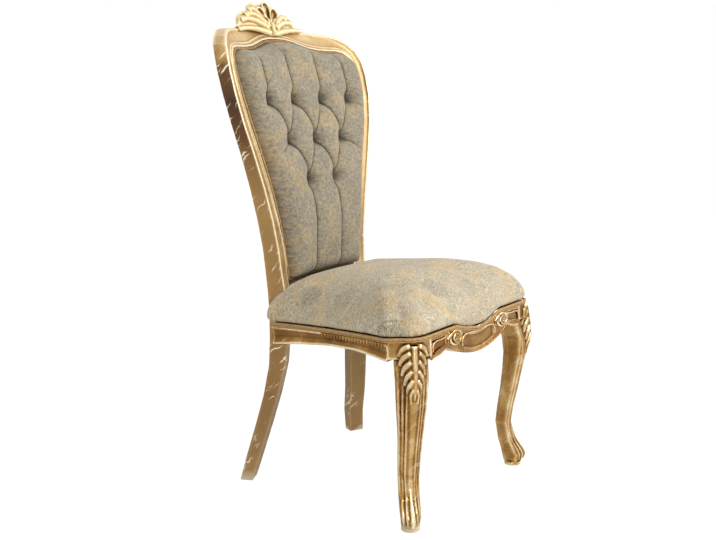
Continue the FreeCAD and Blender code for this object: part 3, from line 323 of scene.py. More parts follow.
def damaskFinish(name, values):
    # Woven damask: a dull ground with satin flowers, flowing gold strands and broken outlines
    damask = Shader(bpy.data.materials.new(name))
    maths, noise, ranged, mixed = damask.maths, damask.noise, damask.ranged, damask.mixed
    cloth = damask.add("ShaderNodeTexCoord", output="UV")
    bent = mixed(values["bend"], cloth, noise(cloth, values["bendScale"], 3.0, 0.6, output="Color"))
    # Lobed flowers, one in each cell of a loose net, and only in some of the cells
    cells = addNode(damask.tree, "ShaderNodeTexVoronoi", {
        "Vector": bent, "Scale": 1 / values["flowerSpacing"], "Randomness": 0.55}).outputs
    local = damask.add("ShaderNodeVectorMath", {0: bent, 1: cells["Position"]}, operation="SUBTRACT")
    reach = damask.add("ShaderNodeVectorMath", {0: local}, "Value", operation="LENGTH")
    axes = damask.axes(local)
    turn = maths("ARCTAN2", axes["Y"], axes["X"])
    petal = maths("SQRT", maths("ABSOLUTE", maths("COSINE", maths("MULTIPLY", turn, values["petals"] / 2))))
    size = values["flowerSize"]
    ragged = maths("SUBTRACT", noise(cloth, values["rimScale"], 2.0, 0.6), 0.5)
    rim = maths("MULTIPLY_ADD", petal, 0.28 * size, 0.74 * size)
    depth = maths("MULTIPLY_ADD", ragged, values["rimTear"], maths("SUBTRACT", rim, reach))
    shown = ranged(damask.add("ShaderNodeSeparateColor", {0: cells["Color"]}), *values["flowerDraw"])
    flower = maths("MULTIPLY", ranged(depth, -0.001, 0.002), shown)
    edge = maths("SUBTRACT", 1.0, ranged(maths("ABSOLUTE", depth), *values["outline"]))
    edge = maths("MULTIPLY", edge, shown)
    # Large leaves with torn edges flow between the flowers
    barbs = maths("SUBTRACT", noise(cloth, values["barbScale"], 3.0, 0.65, 1.0), 0.5)
    torn = maths("MULTIPLY_ADD", barbs, values["barbs"], noise(cloth, values["leafScale"], 1.5, 0.5, 1.6))
    strand = maths("MULTIPLY", ranged(torn, *values["leafEdge"]), maths("SUBTRACT", 1.0, flower))
    # Fine drawn lines over the whole cloth
    drawn = noise(cloth, values["lineScale"], 2.0, 0.5, 2.2)
    contour = maths("SINE", maths("MULTIPLY", drawn, values["lineSpacing"]))
    veins = maths("MULTIPLY", ranged(contour, -0.25, -0.80), 0.7)
    grain = noise(cloth, values["grainScale"], 3.0, 0.75)
    strength = values["figures"]
    lines = maths("MAXIMUM", maths("MULTIPLY", edge, 0.6), maths("MULTIPLY", veins, values["lines"]))
    ground, flowerTone, strandTone, lineTone, fleckTone = (
        linear(values[key]) for key in ("ground", "flower", "strand", "line", "fleck"))
    colour = mixed(maths("MULTIPLY", flower, strength), ground, flowerTone)
    colour = mixed(maths("MULTIPLY", strand, strength), colour, strandTone)
    colour = mixed(maths("MULTIPLY", lines, strength), colour, lineTone)
    colour = mixed(maths("MULTIPLY", ranged(contour, 0.30, 0.65), values["lines"]), colour, fleckTone)
    colour = mixed(ranged(grain, 0.53, 0.62, 0.0, values["flecks"]), colour, fleckTone)
    colour = mixed(ranged(grain, 0.47, 0.38, 0.0, values["flecks"]), colour, lineTone)
    clouds = ranged(noise(cloth, values["cloudScale"], 5.0, 0.65), 0.3, 0.7, *values["clouds"])
    colour = mixed(1.0, colour, clouds, "MULTIPLY")
    # Painted shade in the folds and pits, from the relief
    colour = mixed(1.0, colour, ranged(damask.relief(), *values["folds"]), "MULTIPLY")
    raised = maths("MULTIPLY_ADD", flower, 0.5, maths("MULTIPLY_ADD", strand, 0.5, grain))
    threads = noise(cloth, values["threadScale"], 2.0, 0.6)
    bump = damask.bump(threads, values["threadHeight"], 0.5, damask.bump(raised, values["satinHeight"], 0.7))
    return damask.surface({"Base Color": colour, "Roughness": 0.80, "Sheen Weight": 0.2,
                           "Sheen Roughness": 0.5, "Normal": bump})


def clothFinish(name, dark, light, spacing, sheen=0.1):
    # Plain woven tape or lining: slanting threads at a real spacing on a slightly uneven tone
    cloth = Shader(bpy.data.materials.new(name))
    place = cloth.add("ShaderNodeTexCoord", output="Object")
    threads = cloth.add("ShaderNodeTexWave", {"Vector": place, "Scale": 0.3 / spacing, "Distortion": 1.5},
                        "Fac", bands_direction="DIAGONAL")
    tone = cloth.ramp(cloth.noise(place, 1 / (3 * spacing), 4.0), ((0.3, dark), (0.7, light)))
    return cloth.surface({"Base Color": tone, "Roughness": 0.86, "Sheen Weight": sheen,
                          "Normal": cloth.bump(threads, 0.0004, 0.6)})


def bareWoodFinish(name, dark, light):
    # Sawn beech, dull, with grain along X drawn from stretched noise
    wood = Shader(bpy.data.materials.new(name))
    place = wood.add("ShaderNodeTexCoord", output="Object")
    along = wood.add("ShaderNodeMapping", {"Vector": place, "Scale": (4.0, 60.0, 60.0)})
    grain = wood.noise(along, 3.0, 6.0)
    tone = wood.ramp(grain, ((0.3, dark), (0.7, light)))
    return wood.surface({"Base Color": tone, "Roughness": 0.7, "Normal": wood.bump(grain, 0.0005, 0.4)})


carvedGilt = giltFinish("goldLeafCarving", giltColours, metallic=0.85, roughness=0.20)
frameGilt = giltFinish("goldLeafFrame", paleGiltColours, metallic=0.34, roughness=0.42, wear=1.0, sides=True)
crestGilt = giltFinish("goldLeafCrest", crestColours, metallic=0.45, roughness=0.36)
plainGilt = giltFinish("goldLeafPlain", giltColours, relief=False)
seatDamask = damaskFinish("damaskSeat", seatCloth)
backDamask = damaskFinish("damaskBack", backCloth)
gimpCloth = clothFinish("cottonGimp", "#9C7743", "#D0AB73", 0.0012)
juteCloth = clothFinish("juteWebbing", "#8A7550", "#B79E72", 0.002)
liningCloth = clothFinish("blackLining", "#131312", "#242321", 0.001, 0.0)
beech = bareWoodFinish("sawnBeech", "#8C6A45", "#B38E62")
board = bareWoodFinish("mouldedBoard", "#8F7450", "#A58A63")
print("finishes ready")


# Mesh helpers
def evaluatedMesh(piece):
    graph = bpy.context.evaluated_depsgraph_get()
    return bpy.data.meshes.new_from_object(piece.evaluated_get(graph))


def finished(source, name, material=None):
    # The evaluated object as a plain mesh, with its modifiers gone
    mesh = evaluatedMesh(source)
    mesh.transform(source.matrix_world)
    bpy.data.objects.remove(source)
    mesh.name = name
    return newObject(name, mesh, material)


def gathered(meshes):
    shape = bmesh.new()
    for mesh in meshes:
        shape.from_mesh(mesh)
    return shape


def meshOf(shape, name):
    mesh = bpy.data.meshes.new(name)
    shape.to_mesh(mesh)
    shape.free()
    return mesh


def joined(*meshes):
    return meshOf(gathered(meshes), "joined")


def solidCopy(*nodes):
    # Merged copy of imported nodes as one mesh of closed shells
    shape = gathered([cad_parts[node].data for node in nodes])
    bmesh.ops.remove_doubles(shape, verts=shape.verts, dist=0.00002)
    bmesh.ops.recalc_face_normals(shape, faces=shape.faces)
    return meshOf(shape, "copy")


def rayTree(mesh):
    shape = gathered([mesh])
    tree = BVHTree.FromBMesh(shape)
    shape.free()
    return tree


def newCurve(name, kind, lines):
    # Each line is a list of places with their radii
    curve = bpy.data.curves.new(name, "CURVE")
    curve.dimensions = "3D"
    for line in lines:
        spline = curve.splines.new(kind)
        spline.points.add(len(line) - 1)
        for point, (place, radius) in zip(spline.points, line):
            point.co = (*place, 1)
            point.radius = radius
    return curve


def tubeMesh(strokes, resolution=4):
    # Tapered round strokes
    curve = newCurve("strokes", "NURBS", strokes)
    curve.bevel_depth = 1.0
    curve.bevel_resolution = resolution
    curve.use_fill_caps = True
    for spline in curve.splines:
        spline.order_u = 3
        spline.use_endpoint_u = True
        spline.resolution_u = 6
    piece = newObject("strokes", curve)
    mesh = evaluatedMesh(piece)
    bpy.data.objects.remove(piece)
    return mesh


def remeshed(mesh, name, values, material=None):
    # One closed skin, smoothed
    piece = newObject(name, mesh)
    remesh = piece.modifiers.new("remesh", "REMESH")
    remesh.mode = "VOXEL"
    remesh.voxel_size = values["voxel"]
    remesh.adaptivity = 0.0
    smooth = piece.modifiers.new("smooth", "SMOOTH")
    smooth.factor = 0.5
    smooth.iterations = values["smoothing"]
    return finished(piece, name, material)


def readArray(items, name, width=3, kind=np.float32):
    values = np.empty(len(items) * width, kind)
    items.foreach_get(name, values)
    return values.reshape(-1, width)


def coordinates(mesh):
    return readArray(mesh.vertices, "co")


def setCoordinates(mesh, places):
    mesh.vertices.foreach_set("co", places.astype(np.float32).ravel())
    mesh.update()


def mirroredPiece(piece, name):
    mesh = piece.data.copy()
    mesh.name = name
    setCoordinates(mesh, coordinates(mesh) * (-1, 1, 1))
    mesh.flip_normals()
    return newObject(name, mesh)


def spread(values, pairs, count, rounds):
    # Averages a value over each vertex and its neighbours, again and again
    first, second = pairs[:, 0], pairs[:, 1]
    neighbours = np.bincount(pairs.ravel(), minlength=count)
    for _ in range(rounds):
        total = np.bincount(first, values[second], count) + np.bincount(second, values[first], count)
        values = (values + total) / (1 + neighbours)
    return values


def setRelief(mesh, values):
    mesh.attributes.new("relief", "FLOAT", "POINT").data.foreach_set("value", values)


def markRelief(piece, depth, near=1, far=14):
    # How far each place stands above or below its surroundings, from 0 in a hollow to 1 on a ridge; the
    # finishes paint shade in the hollows and highlights on the ridges from it
    mesh = piece.data
    places = coordinates(mesh).astype(float)
    pairs = readArray(mesh.edges, "vertices", 2, np.int32)
    normals = readArray(mesh.vertex_normals, "vector")
    close, wide = (np.stack([spread(places[:, axis], pairs, len(places), rounds) for axis in range(3)], 1)
                   for rounds in (near, far))
    lift = ((close - wide) * normals).sum(1)
    setRelief(mesh, np.clip(0.5 + lift / (2 * depth), 0, 1).astype(np.float32))


def declare(piece, slot, *nodes):
    # Fixed to the one body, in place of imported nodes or, with none named, added to them
    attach(piece, "root")
    if nodes:
        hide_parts(*nodes)


def declareSmooth(piece, values, slot, *nodes):
    # The same, shaded smooth but for the edges sharper than an angle in degrees
    piece.data.shade_smooth()
    piece.data.set_sharp_from_angle(angle=math.radians(values["sharpFrom"]))
    declare(piece, slot, *nodes)


def declarePair(right, leftName, values, slot, *kinds):
    # A piece of the right side and its mirrored copy
    for piece, side in ((right, "right"), (mirroredPiece(right, leftName), "left")):
        declareSmooth(piece, values, slot, *(f"{kind}_{side}" for kind in kinds))


# Back frame: posts and top rail as one carving, cut apart at their joints
backFrame = {
    "voxel": 0.0016,
    "smoothing": 2,
    "relief": 0.0012,
    "sharpFrom": 50,
    "jointHeight": 0.930,
    "innerBead": 0.0019,
    "innerBeadPlace": 0.0105,
    "beadBottom": 0.49,
}
backCentre = Vector((0, 0.76))


def openingOutline(count=360):
    # Outer edge of the gimp round the opening, as reach from a middle point by direction
    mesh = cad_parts["back_gimp"].data
    reach = [0.0] * count
    for edge in mesh.edges:
        a, b = (mesh.vertices[n].co for n in edge.vertices)
        steps = max(2, int((a - b).length / 0.002))
        for step in range(steps + 1):
            p = a.lerp(b, step / steps)
            v = Vector((p.x, p.z)) - backCentre
            sector = int((math.atan2(v.y, v.x) / (2 * math.pi)) * count) % count
            reach[sector] = max(reach[sector], v.length)
    known = [n for n in range(count) if reach[n] > 0]
    for n in range(count):
        if reach[n] == 0.0:
            near = min(known, key=lambda k: min(abs(k - n), count - abs(k - n)))
            reach[n] = reach[near]
    turns = [2 * math.pi * (n + 0.5) / count for n in range(count)]
    return [backCentre + Vector((math.cos(turn), math.sin(turn))) * r for turn, r in zip(turns, reach)]


opening = openingOutline()


def inset(points, amount):
    # The outline drawn in towards its middle, or out where amount is negative
    return [backCentre + (p - backCentre) * (1 - amount / (p - backCentre).length) for p in points]


def frameBeads(mesh):
    # A second bead beside the one at the opening, from the foot of one post over the top to the other's
    tree = rayTree(mesh)
    stroke = []
    for p in inset(opening, -backFrame["innerBeadPlace"]):
        hit = tree.ray_cast(Vector((p.x, -0.2, p.y)), Vector((0, 1, 0)))[0]
        if hit and p.y > backFrame["beadBottom"]:
            stroke.append(((hit.x, hit.y, hit.z), backFrame["innerBead"]))
    stroke.sort(key=lambda item: math.atan2(item[0][0], item[0][2] - 0.3))
    return tubeMesh([stroke[::2]])


def cutPiece(mesh, name, keepAbove, side):
    # What lies above or below the joint, on one side of the middle where a side is given
    shape = gathered([mesh])
    cuts = [((0, 0, backFrame["jointHeight"]), (0, 0, 1 if keepAbove else -1))]
    if side:
        cuts.append(((0, 0, 0), (side, 0, 0)))
    for place, keep in cuts:
        geometry = shape.verts[:] + shape.edges[:] + shape.faces[:]
        done = bmesh.ops.bisect_plane(shape, geom=geometry, plane_co=place, plane_no=keep, clear_inner=True)
        edges = [item for item in done["geom_cut"] if isinstance(item, bmesh.types.BMEdge)]
        bmesh.ops.holes_fill(shape, edges=edges, sides=0)
    return newObject(name, meshOf(shape, name), frameGilt)


def makeBackFrame():
    mesh = solidCopy("rear_post_left", "rear_post_right", "top_rail")
    whole = remeshed(joined(mesh, frameBeads(mesh)), "backFrame", backFrame)
    markRelief(whole, backFrame["relief"])
    for name, keepAbove, side, node in (
            ("topRail", True, 0, "top_rail"),
            ("rearPostLeft", False, -1, "rear_post_left"),
            ("rearPostRight", False, 1, "rear_post_right")):
        declareSmooth(cutPiece(whole.data, name, keepAbove, side), backFrame, "gilt_frame", node)
    bpy.data.objects.remove(whole)


makeBackFrame()
print("back frame carved")

# Crest: open shell between two scrolled leaves
crest = {
    "place": (0.0, 0.257, 1.019),
    "lean": 22.0,
    "voxel": 0.0011,
    "smoothing": 3,
    "relief": 0.0012,
    "sharpFrom": 80,
    "heart": 0.0228,
    # Radius of a petal's rim, its share at the root and what it gains towards the tip
    "petalRim": 0.0023,
    "rimRoot": 0.7,
    "rimGrowth": 0.5,
    "petalRise": 0.0012,
    "petalDip": 0.003,
    "frondFlat": 0.55,
    "frondDepth": 0.002,
    "frondRise": 0.003,
    "rolledEnd": 1.25,
    "curlPower": 1.6,
    "scoopDepth": 0.0055,
    "scoopPlace": 0.62,
    "scoopShares": (0.84, 0.34),
}
# Petals of the shell: angle from upright, length and half width
petals = (
    (-66, 0.042, 0.0095), (-35, 0.055, 0.0128), (0, 0.062, 0.0125), (35, 0.055, 0.0128), (66, 0.042, 0.0095))
# Half a petal's rim, as shares of its length and half width
rimShares = ((0.10, 0.25), (0.38, 0.62), (0.66, 0.95), (0.86, 0.92), (0.97, 0.55), (1.0, 0.0))
# Heart of the shell: forward or back, up and radius
heartStroke = ((0.0, -0.002, 0.009), (-0.001, 0.012, 0.0062), (-0.002, 0.026, 0.0045), (0.0, 0.04, 0.003))
# Fronds of the leaves: start across and up, heading, length, curl in degrees, radii at root and tip
frondsLeft = (
    (-0.010, 0.006, 168, 0.112, 30, 0.0090, 0.0044),
    (-0.014, 0.019, 153, 0.096, 54, 0.0104, 0.0070),
    (-0.020, 0.031, 140, 0.074, 88, 0.0104, 0.0078),
    (-0.031, 0.046, 120, 0.046, 130, 0.0088, 0.0072),
)
frondsRight = (
    (0.010, 0.006, 12, 0.098, -20, 0.0090, 0.0042),
    (0.015, 0.019, 32, 0.066, -62, 0.0098, 0.0064),
    (0.026, 0.031, 56, 0.044, -120, 0.0086, 0.0066),
)


def crestAxes():
    # Straight into the crest and up along it
    lean = math.radians(crest["lean"])
    return np.array([0.0, math.cos(lean), -math.sin(lean)]), np.array([0.0, math.sin(lean), math.cos(lean)])


def onCrest(across, depth, up):
    inward, upward = crestAxes()
    return tuple(crest["place"] + np.array([across, 0, 0]) + depth * inward + up * upward)


def frondStroke(across, up, heading, length, curl, root, tip, steps=9):
    # A leaf's frond that curls more and more towards its rolled end
    points = []
    angle = math.radians(heading)
    for step in range(steps + 1):
        share = step / steps
        radius = root + (tip - root) * share
        if step >= steps - 1:
            radius *= crest["rolledEnd"]
        points.append((onCrest(across, crest["frondDepth"] - crest["frondRise"] * share, up), radius))
        turn = angle + math.radians(curl) * share ** crest["curlPower"]
        across += math.cos(turn) * length / steps
        up += math.sin(turn) * length / steps
    return points


def flattened(mesh):
    # Presses the round fronds towards the plane of the crest
    inward = crestAxes()[0]
    places = coordinates(mesh).astype(float)
    depth = (places - np.array(crest["place"])) @ inward
    setCoordinates(mesh, places - inward * (depth * (1 - crest["frondFlat"]))[:, None])
    return mesh


def scoopPetals(piece):
    # Hollows out the middle of each petal, from the front
    inward, upward = crestAxes()
    places = coordinates(piece.data).astype(float)
    offset = places - np.array(crest["place"])
    across, up = offset[:, 0], offset @ upward - crest["heart"]
    facing = np.clip(-(readArray(piece.data.vertex_normals, "vector") @ inward), 0, 1)
    depth = np.zeros(len(places))
    for heading, length, half in petals:
        turn = math.radians(heading)
        along = across * math.sin(turn) + up * math.cos(turn) - length * crest["scoopPlace"]
        aside = across * math.cos(turn) - up * math.sin(turn)
        wide, tall = half * crest["scoopShares"][0], length * crest["scoopShares"][1]
        depth = np.maximum(depth, np.clip(1 - (aside / wide) ** 2 - (along / tall) ** 2, 0, 1))
    places += inward * (crest["scoopDepth"] * facing * np.sqrt(depth))[:, None]
    setCoordinates(piece.data, places)


def petalRim(heading, length, half):
    # A raised rim from the heart up one side, round the tip and down the other
    turn = math.radians(heading)
    rim = []
    for along, aside in rimShares + tuple((a, -b) for a, b in reversed(rimShares[:-1])):
        across = math.sin(turn) * length * along + math.cos(turn) * half * aside
        up = math.cos(turn) * length * along - math.sin(turn) * half * aside
        place = onCrest(across, -crest["petalRise"] + crest["petalDip"] * along, crest["heart"] + up)
        rim.append((place, crest["petalRim"] * (crest["rimRoot"] + crest["rimGrowth"] * along)))
    return rim


def makeCrest():
    strokes = [petalRim(*petal) for petal in petals]
    strokes.append([(onCrest(0, depth, up), radius) for depth, up, radius in heartStroke])
    shell = remeshed(joined(solidCopy("crest_shell"), tubeMesh(strokes)), "crestShell", crest, crestGilt)
    scoopPetals(shell)
    pieces = [(shell, "crest_shell")]
    for name, node, fronds in (("crestLeafLeft", "crest_leaf_left", frondsLeft),
                               ("crestLeafRight", "crest_leaf_right", frondsRight)):
        mesh = joined(solidCopy(node), flattened(tubeMesh([frondStroke(*frond) for frond in fronds])))
        pieces.append((remeshed(mesh, name, crest, crestGilt), node))
    for piece, node in pieces:
        markRelief(piece, crest["relief"])
        declareSmooth(piece, crest, "gilt_carving", node)


makeCrest()
print("crest carved")

# Front legs: cabriole, with an acanthus leaf on the knee, reeds down the shin and a scrolled toe
leg = {
    "centre": (0.229, -0.2834),
    "voxel": 0.0013,
    "smoothing": 4,
    "relief": 0.0011,
    "sharpFrom": 60,
    "reedTop": 0.330,
    "reedBottom": 0.060,
    "toeShares": (-0.72, -0.38, 0.0, 0.38, 0.72),
    "reedShares": (-0.93, -0.68, -0.43, 0.43, 0.68, 0.93),
    "reedRadius": 0.0036,
    "reedSink": 0.0004,
    "reedSpread": 0.93,
    "reedSteps": 16,
    # Reeds further out begin higher, and all are thin at both ends
    "reedSlope": 0.05,
    "reedMiddle": 0.7,
    "reedThin": 0.35,
    "toeSink": 0.0010,
    "toeFall": 0.25,
    # Height and radius along a toe
    "toe": ((0.086, 0.0016), (0.066, 0.0030), (0.048, 0.0044), (0.034, 0.0056), (0.022, 0.0054),
            (0.013, 0.0036)),
    "leafSink": 0.40,
}
# Lobes of the knee leaf: points across and up, then the radius at each
kneeStrokes = (
    (((0.0, 0.394), (0.0, 0.370), (0.0, 0.345), (0.0, 0.315), (0.0, 0.285)),
     (0.0060, 0.0064, 0.0058, 0.0046, 0.0024)),
    (((0.008, 0.393), (0.015, 0.389), (0.022, 0.381), (0.027, 0.369)), (0.0060, 0.0084, 0.0080, 0.0046)),
    (((0.007, 0.380), (0.014, 0.373), (0.021, 0.363), (0.025, 0.350)), (0.0060, 0.0084, 0.0080, 0.0044)),
    (((0.006, 0.363), (0.012, 0.355), (0.018, 0.344), (0.022, 0.331)), (0.0056, 0.0078, 0.0074, 0.0042)),
    (((0.005, 0.345), (0.010, 0.337), (0.015, 0.326), (0.018, 0.313)), (0.0050, 0.0070, 0.0066, 0.0038)),
    (((0.004, 0.327), (0.008, 0.319), (0.012, 0.308), (0.013, 0.296)), (0.0044, 0.0060, 0.0056, 0.0032)),
    (((0.003, 0.309), (0.005, 0.301), (0.007, 0.290), (0.006, 0.276)), (0.0036, 0.0048, 0.0044, 0.0024)),
)


def legStrokes(tree):
    outward = Vector((math.sqrt(0.5), -math.sqrt(0.5), 0))
    sideways = Vector((math.sqrt(0.5), math.sqrt(0.5), 0))
    centre = Vector((*leg["centre"], 0))

    def onLeg(across, height, lift):
        start = centre + outward * 0.2 + sideways * across + Vector((0, 0, height))
        hit = tree.ray_cast(start, -outward)[0]
        return hit + outward * lift if hit else None

    def halfWidth(height):
        reach = 0.0
        for offset in range(-8, 9):
            start = centre + outward * offset * 0.005 + sideways * 0.1 + Vector((0, 0, height))
            hit = tree.ray_cast(start, -sideways)[0]
            if hit:
                reach = max(reach, (hit - centre).dot(sideways))
        return reach

    strokes = []
    for points, radii in kneeStrokes:
        for side in (1, -1) if points[0][0] else (1,):
            strokes.append([(onLeg(across * side, height, -radius * leg["leafSink"]), radius)
                            for (across, height), radius in zip(points, radii)])
    steps, thin = leg["reedSteps"], leg["reedThin"]
    for share in leg["reedShares"]:
        stroke = []
        top = leg["reedTop"] + leg["reedSlope"] * (abs(share) - leg["reedMiddle"])
        for step in range(steps + 1):
            height = top + (leg["reedBottom"] - top) * step / steps
            fade = thin + (1 - thin) * min(1.0, 4.0 * min(step, steps - step) / steps)
            stroke.append((onLeg(halfWidth(height) * share * leg["reedSpread"], height, -leg["reedSink"]),
                           leg["reedRadius"] * fade))
        strokes.append(stroke)
    # Carved toes that swell and turn under at the foot
    for share in leg["toeShares"]:
        strokes.append([(onLeg(halfWidth(height) * share, height, -leg["toeSink"]),
                         radius * (1.0 - leg["toeFall"] * abs(share))) for height, radius in leg["toe"]])
    # Only the places that lie on the leg
    strokes = [[point for point in stroke if point[0]] for stroke in strokes]
    return [stroke for stroke in strokes if len(stroke) > 2]


def makeLegs():
    mesh = solidCopy("front_leg_right", "knee_leaf_right")
    right = remeshed(joined(mesh, tubeMesh(legStrokes(rayTree(mesh)))), "frontLegRight", leg, carvedGilt)
    places = coordinates(right.data)
    places[:, 2] = np.maximum(places[:, 2], 0.0)
    setCoordinates(right.data, places)
    markRelief(right, leg["relief"], 4, 16)
    declarePair(right, "frontLegLeft", leg, "gilt_frame", "front_leg", "knee_leaf")


makeLegs()
print("legs carved")

# Seat outline, on the raked seat plane
seat = {
    "front": 0.306,
    "height": 0.411,
    "rake": 4.6,
    "depth": 0.444,
    "frontWidth": 0.430,
    "width": 0.524,
    "rearWidth": 0.380,
    "sweep": 0.012,
    "widest": 0.066,
    "rearCorner": 0.017,
    "dip": 0.020,
    "dipWidth": 0.196,
}
frontCornerShares = ((0.49, 0.16), (0.70, 0.485))
dipShares = ((1.0, 0.0), (0.85, 0.175), (0.67, 0.475), (0.0, 1.0))


def onSeat(x, y, z):
    rake = math.radians(-seat["rake"])
    return Vector((x, y * math.cos(rake) - z * math.sin(rake) - seat["front"],
                   y * math.sin(rake) + z * math.cos(rake) + seat["height"]))


def arcPoints(start, middle, end, count):
    # Parabola through three points, near enough to the arc
    start, middle, end = (Vector(p) for p in (start, middle, end))
    pull = middle * 2 - (start + end) / 2
    shares = [n / count for n in range(count + 1)]
    return [start * (1 - t) ** 2 + pull * (2 * t * (1 - t)) + end * t * t for t in shares]


def seatSide(step=12):
    # Right half of the outline from the middle of the front to the end of the side, seen from above
    front = Vector((seat["frontWidth"] / 2, 0))
    widest = Vector((seat["width"] / 2, seat["widest"]))
    corner = [front + Vector(((widest - front).x * x, widest.y * y)) for x, y in frontCornerShares]
    rear = Vector((seat["rearWidth"] / 2, seat["depth"] - seat["rearCorner"]))
    side = rear - widest
    waist = (widest + rear) / 2 + Vector((-side.y, side.x)) * (seat["sweep"] / side.length)
    points = [Vector((front.x * n / 24, 0)) for n in range(24)]
    points += arcPoints(front, corner[0], corner[1], step)[:-1]
    points += [corner[1] + (widest - corner[1]) * n / 5 for n in range(5)]
    points += arcPoints(widest, waist, rear, 3 * step)
    return points


def dipAt(across):
    # Fall of the front edge in the middle of its width
    share = abs(across) / (seat["dipWidth"] / 2)
    for (x0, z0), (x1, z1) in zip(dipShares, dipShares[1:]):
        if x1 <= share <= x0:
            return -seat["dip"] * (z0 + (z1 - z0) * (share - x0) / (x1 - x0))
    return 0.0


def seatLine(drop, out):
    # The whole edge of the seat from the rear right to the rear left, lowered by drop and moved out
    side = seatSide()
    points = []
    for number, place in enumerate(side):
        ahead = side[min(number + 1, len(side) - 1)]
        behind = side[max(number - 1, 0)]
        along = (ahead - behind).normalized()
        normal = Vector((along.y, -along.x)) if number else Vector((0, -1))
        dip = dipAt(place.x) if place.y < 0.01 else 0.0
        points.append((place.x + normal.x * out, place.y + normal.y * out, dip - drop))
    right = [onSeat(*p) for p in points]
    left = [onSeat(-x, y, z) for x, y, z in points[1:]]
    return right[::-1] + left


# Cords, beads and rope mouldings that follow a line
def cordTree():
    # Strands or beads at a pitch along a line, leaning, round a solid core
    tree = bpy.data.node_groups.new("twistedCord", "GeometryNodeTree")
    sizes = [(name, "NodeSocketFloat") for name in ("Pitch", "Width", "Length", "Lean", "Core")]
    for name, kind in [("Geometry", "NodeSocketGeometry"), *sizes, ("Finish", "NodeSocketMaterial")]:
        tree.interface.new_socket(name, in_out="INPUT", socket_type=kind)
    tree.interface.new_socket("Geometry", in_out="OUTPUT", socket_type="NodeSocketGeometry")
    given = addNode(tree, "NodeGroupInput").outputs
    points = addNode(tree, "GeometryNodeCurveToPoints", {
        "Curve": given["Geometry"], "Length": given["Pitch"]}, mode="LENGTH")
    strand = addNode(tree, "GeometryNodeMeshUVSphere", {"Segments": 8, "Rings": 6, "Radius": 0.5})
    scale = addNode(tree, "ShaderNodeCombineXYZ", {0: given["Width"], 1: given["Width"], 2: given["Length"]})
    lean = addNode(tree, "ShaderNodeCombineXYZ", {0: given["Lean"], 1: given["Lean"]})
    aligned = addNode(tree, "FunctionNodeAlignRotationToVector", {"Vector": points.outputs["Tangent"]},
                      axis="Z")
    turned = addNode(tree, "FunctionNodeRotateRotation", {
        "Rotation": aligned.outputs[0], "Rotate By": lean.outputs[0]}, rotation_space="LOCAL")
    strands = addNode(tree, "GeometryNodeInstanceOnPoints", {
        "Points": points.outputs["Points"], "Instance": strand.outputs["Mesh"], "Rotation": turned.outputs[0],
        "Scale": scale.outputs[0]})
    real = addNode(tree, "GeometryNodeRealizeInstances", {0: strands.outputs[0]})
    ring = addNode(tree, "GeometryNodeCurvePrimitiveCircle", {"Resolution": 8, "Radius": given["Core"]})
    core = addNode(tree, "GeometryNodeCurveToMesh", {
        "Curve": given["Geometry"], "Profile Curve": ring.outputs[0], "Fill Caps": True})
    both = addNode(tree, "GeometryNodeJoinGeometry", {0: real.outputs[0]})
    tree.links.new(core.outputs[0], both.inputs[0])
    coloured = addNode(tree, "GeometryNodeSetMaterial", {
        "Geometry": both.outputs[0], "Material": given["Finish"]})
    smooth = addNode(tree, "GeometryNodeSetShadeSmooth", {"Geometry": coloured.outputs[0]})
    addNode(tree, "NodeGroupOutput", {0: smooth.outputs[0]})
    return tree


twistedCord = cordTree()


def cordPiece(name, lines, values, material, closed=False):
    piece = newObject(name, newCurve(name, "POLY", [[(place, 1.0) for place in line] for line in lines]))
    for spline in piece.data.splines:
        spline.use_cyclic_u = closed
    layer = piece.modifiers.new("cord", "NODES")
    layer.node_group = twistedCord
    items = twistedCord.interface.items_tree
    sockets = {item.name: item.identifier for item in items if item.in_out == "INPUT"}
    for key, value in {**values, "Finish": material}.items():
        layer[sockets[key]] = value
    return finished(piece, name, material)


# Drop and reach outwards of the round welt and of the thin cord below it, then their strands
seatBraid = {"welt": (0.0034, 0.0014), "edge": (0.0082, 0.0008)}
gimp = {"Pitch": 0.0030, "Width": 0.0036, "Length": 0.0054, "Lean": 0.55, "Core": 0.0015}
welt = {"Pitch": 0.0036, "Width": 0.0062, "Length": 0.0070, "Lean": 0.45, "Core": 0.0029}


def makeSeatGimp():
    declare(cordPiece("seatGimp", [seatLine(*seatBraid["welt"])], welt, gimpCloth), "braid", "seat_gimp")
    declare(cordPiece("seatGimpEdge", [seatLine(*seatBraid["edge"])], gimp, gimpCloth), "braid")


makeSeatGimp()
print("seat gimp sewn")

# Rails: softened carving, rope bead under the gimp and beaded edges
rails = {
    "voxel": 0.0015,
    "smoothing": 1,
    "relief": 0.0016,
    "sharpFrom": 50,
    "rope": {"Pitch": 0.0094, "Width": 0.0070, "Length": 0.0150, "Lean": 0.80, "Core": 0.0026},
    "ropeOut": 0.0012,
    "ropeDrop": 0.0136,
    "ropeEnd": 0.270,
    "edgeBead": {"Pitch": 0.0082, "Width": 0.0058, "Length": 0.0082, "Lean": 0.0, "Core": 0.0018},
}
apron = {
    "halfSpan": 0.196,
    "halfNotch": 0.132,
    "sideHeight": 0.0535,
    "notchHeight": 0.042,
    "middleHeight": 0.074,
    "sideMiddle": (0.165, -0.0415),
    "face": 0.002,
    "proud": 0.0008,
    "beadLift": 0.0022,
    # Right half of the panel's border and the scroll beside it: across and up, then their radii
    "border": ((0.0, -0.031), (0.0432, -0.027), (0.066, -0.030), (0.074, -0.040), (0.072, -0.050)),
    "scroll": ((0.136, -0.018), (0.152, -0.020), (0.176, -0.019), (0.190, -0.024), (0.189, -0.040)),
    "borderRadius": 0.0023,
    "scrollRadius": 0.0018,
    "voxel": 0.0009,
    "smoothing": 1,
    "relief": 0.0016,
    "sharpFrom": 60,
}


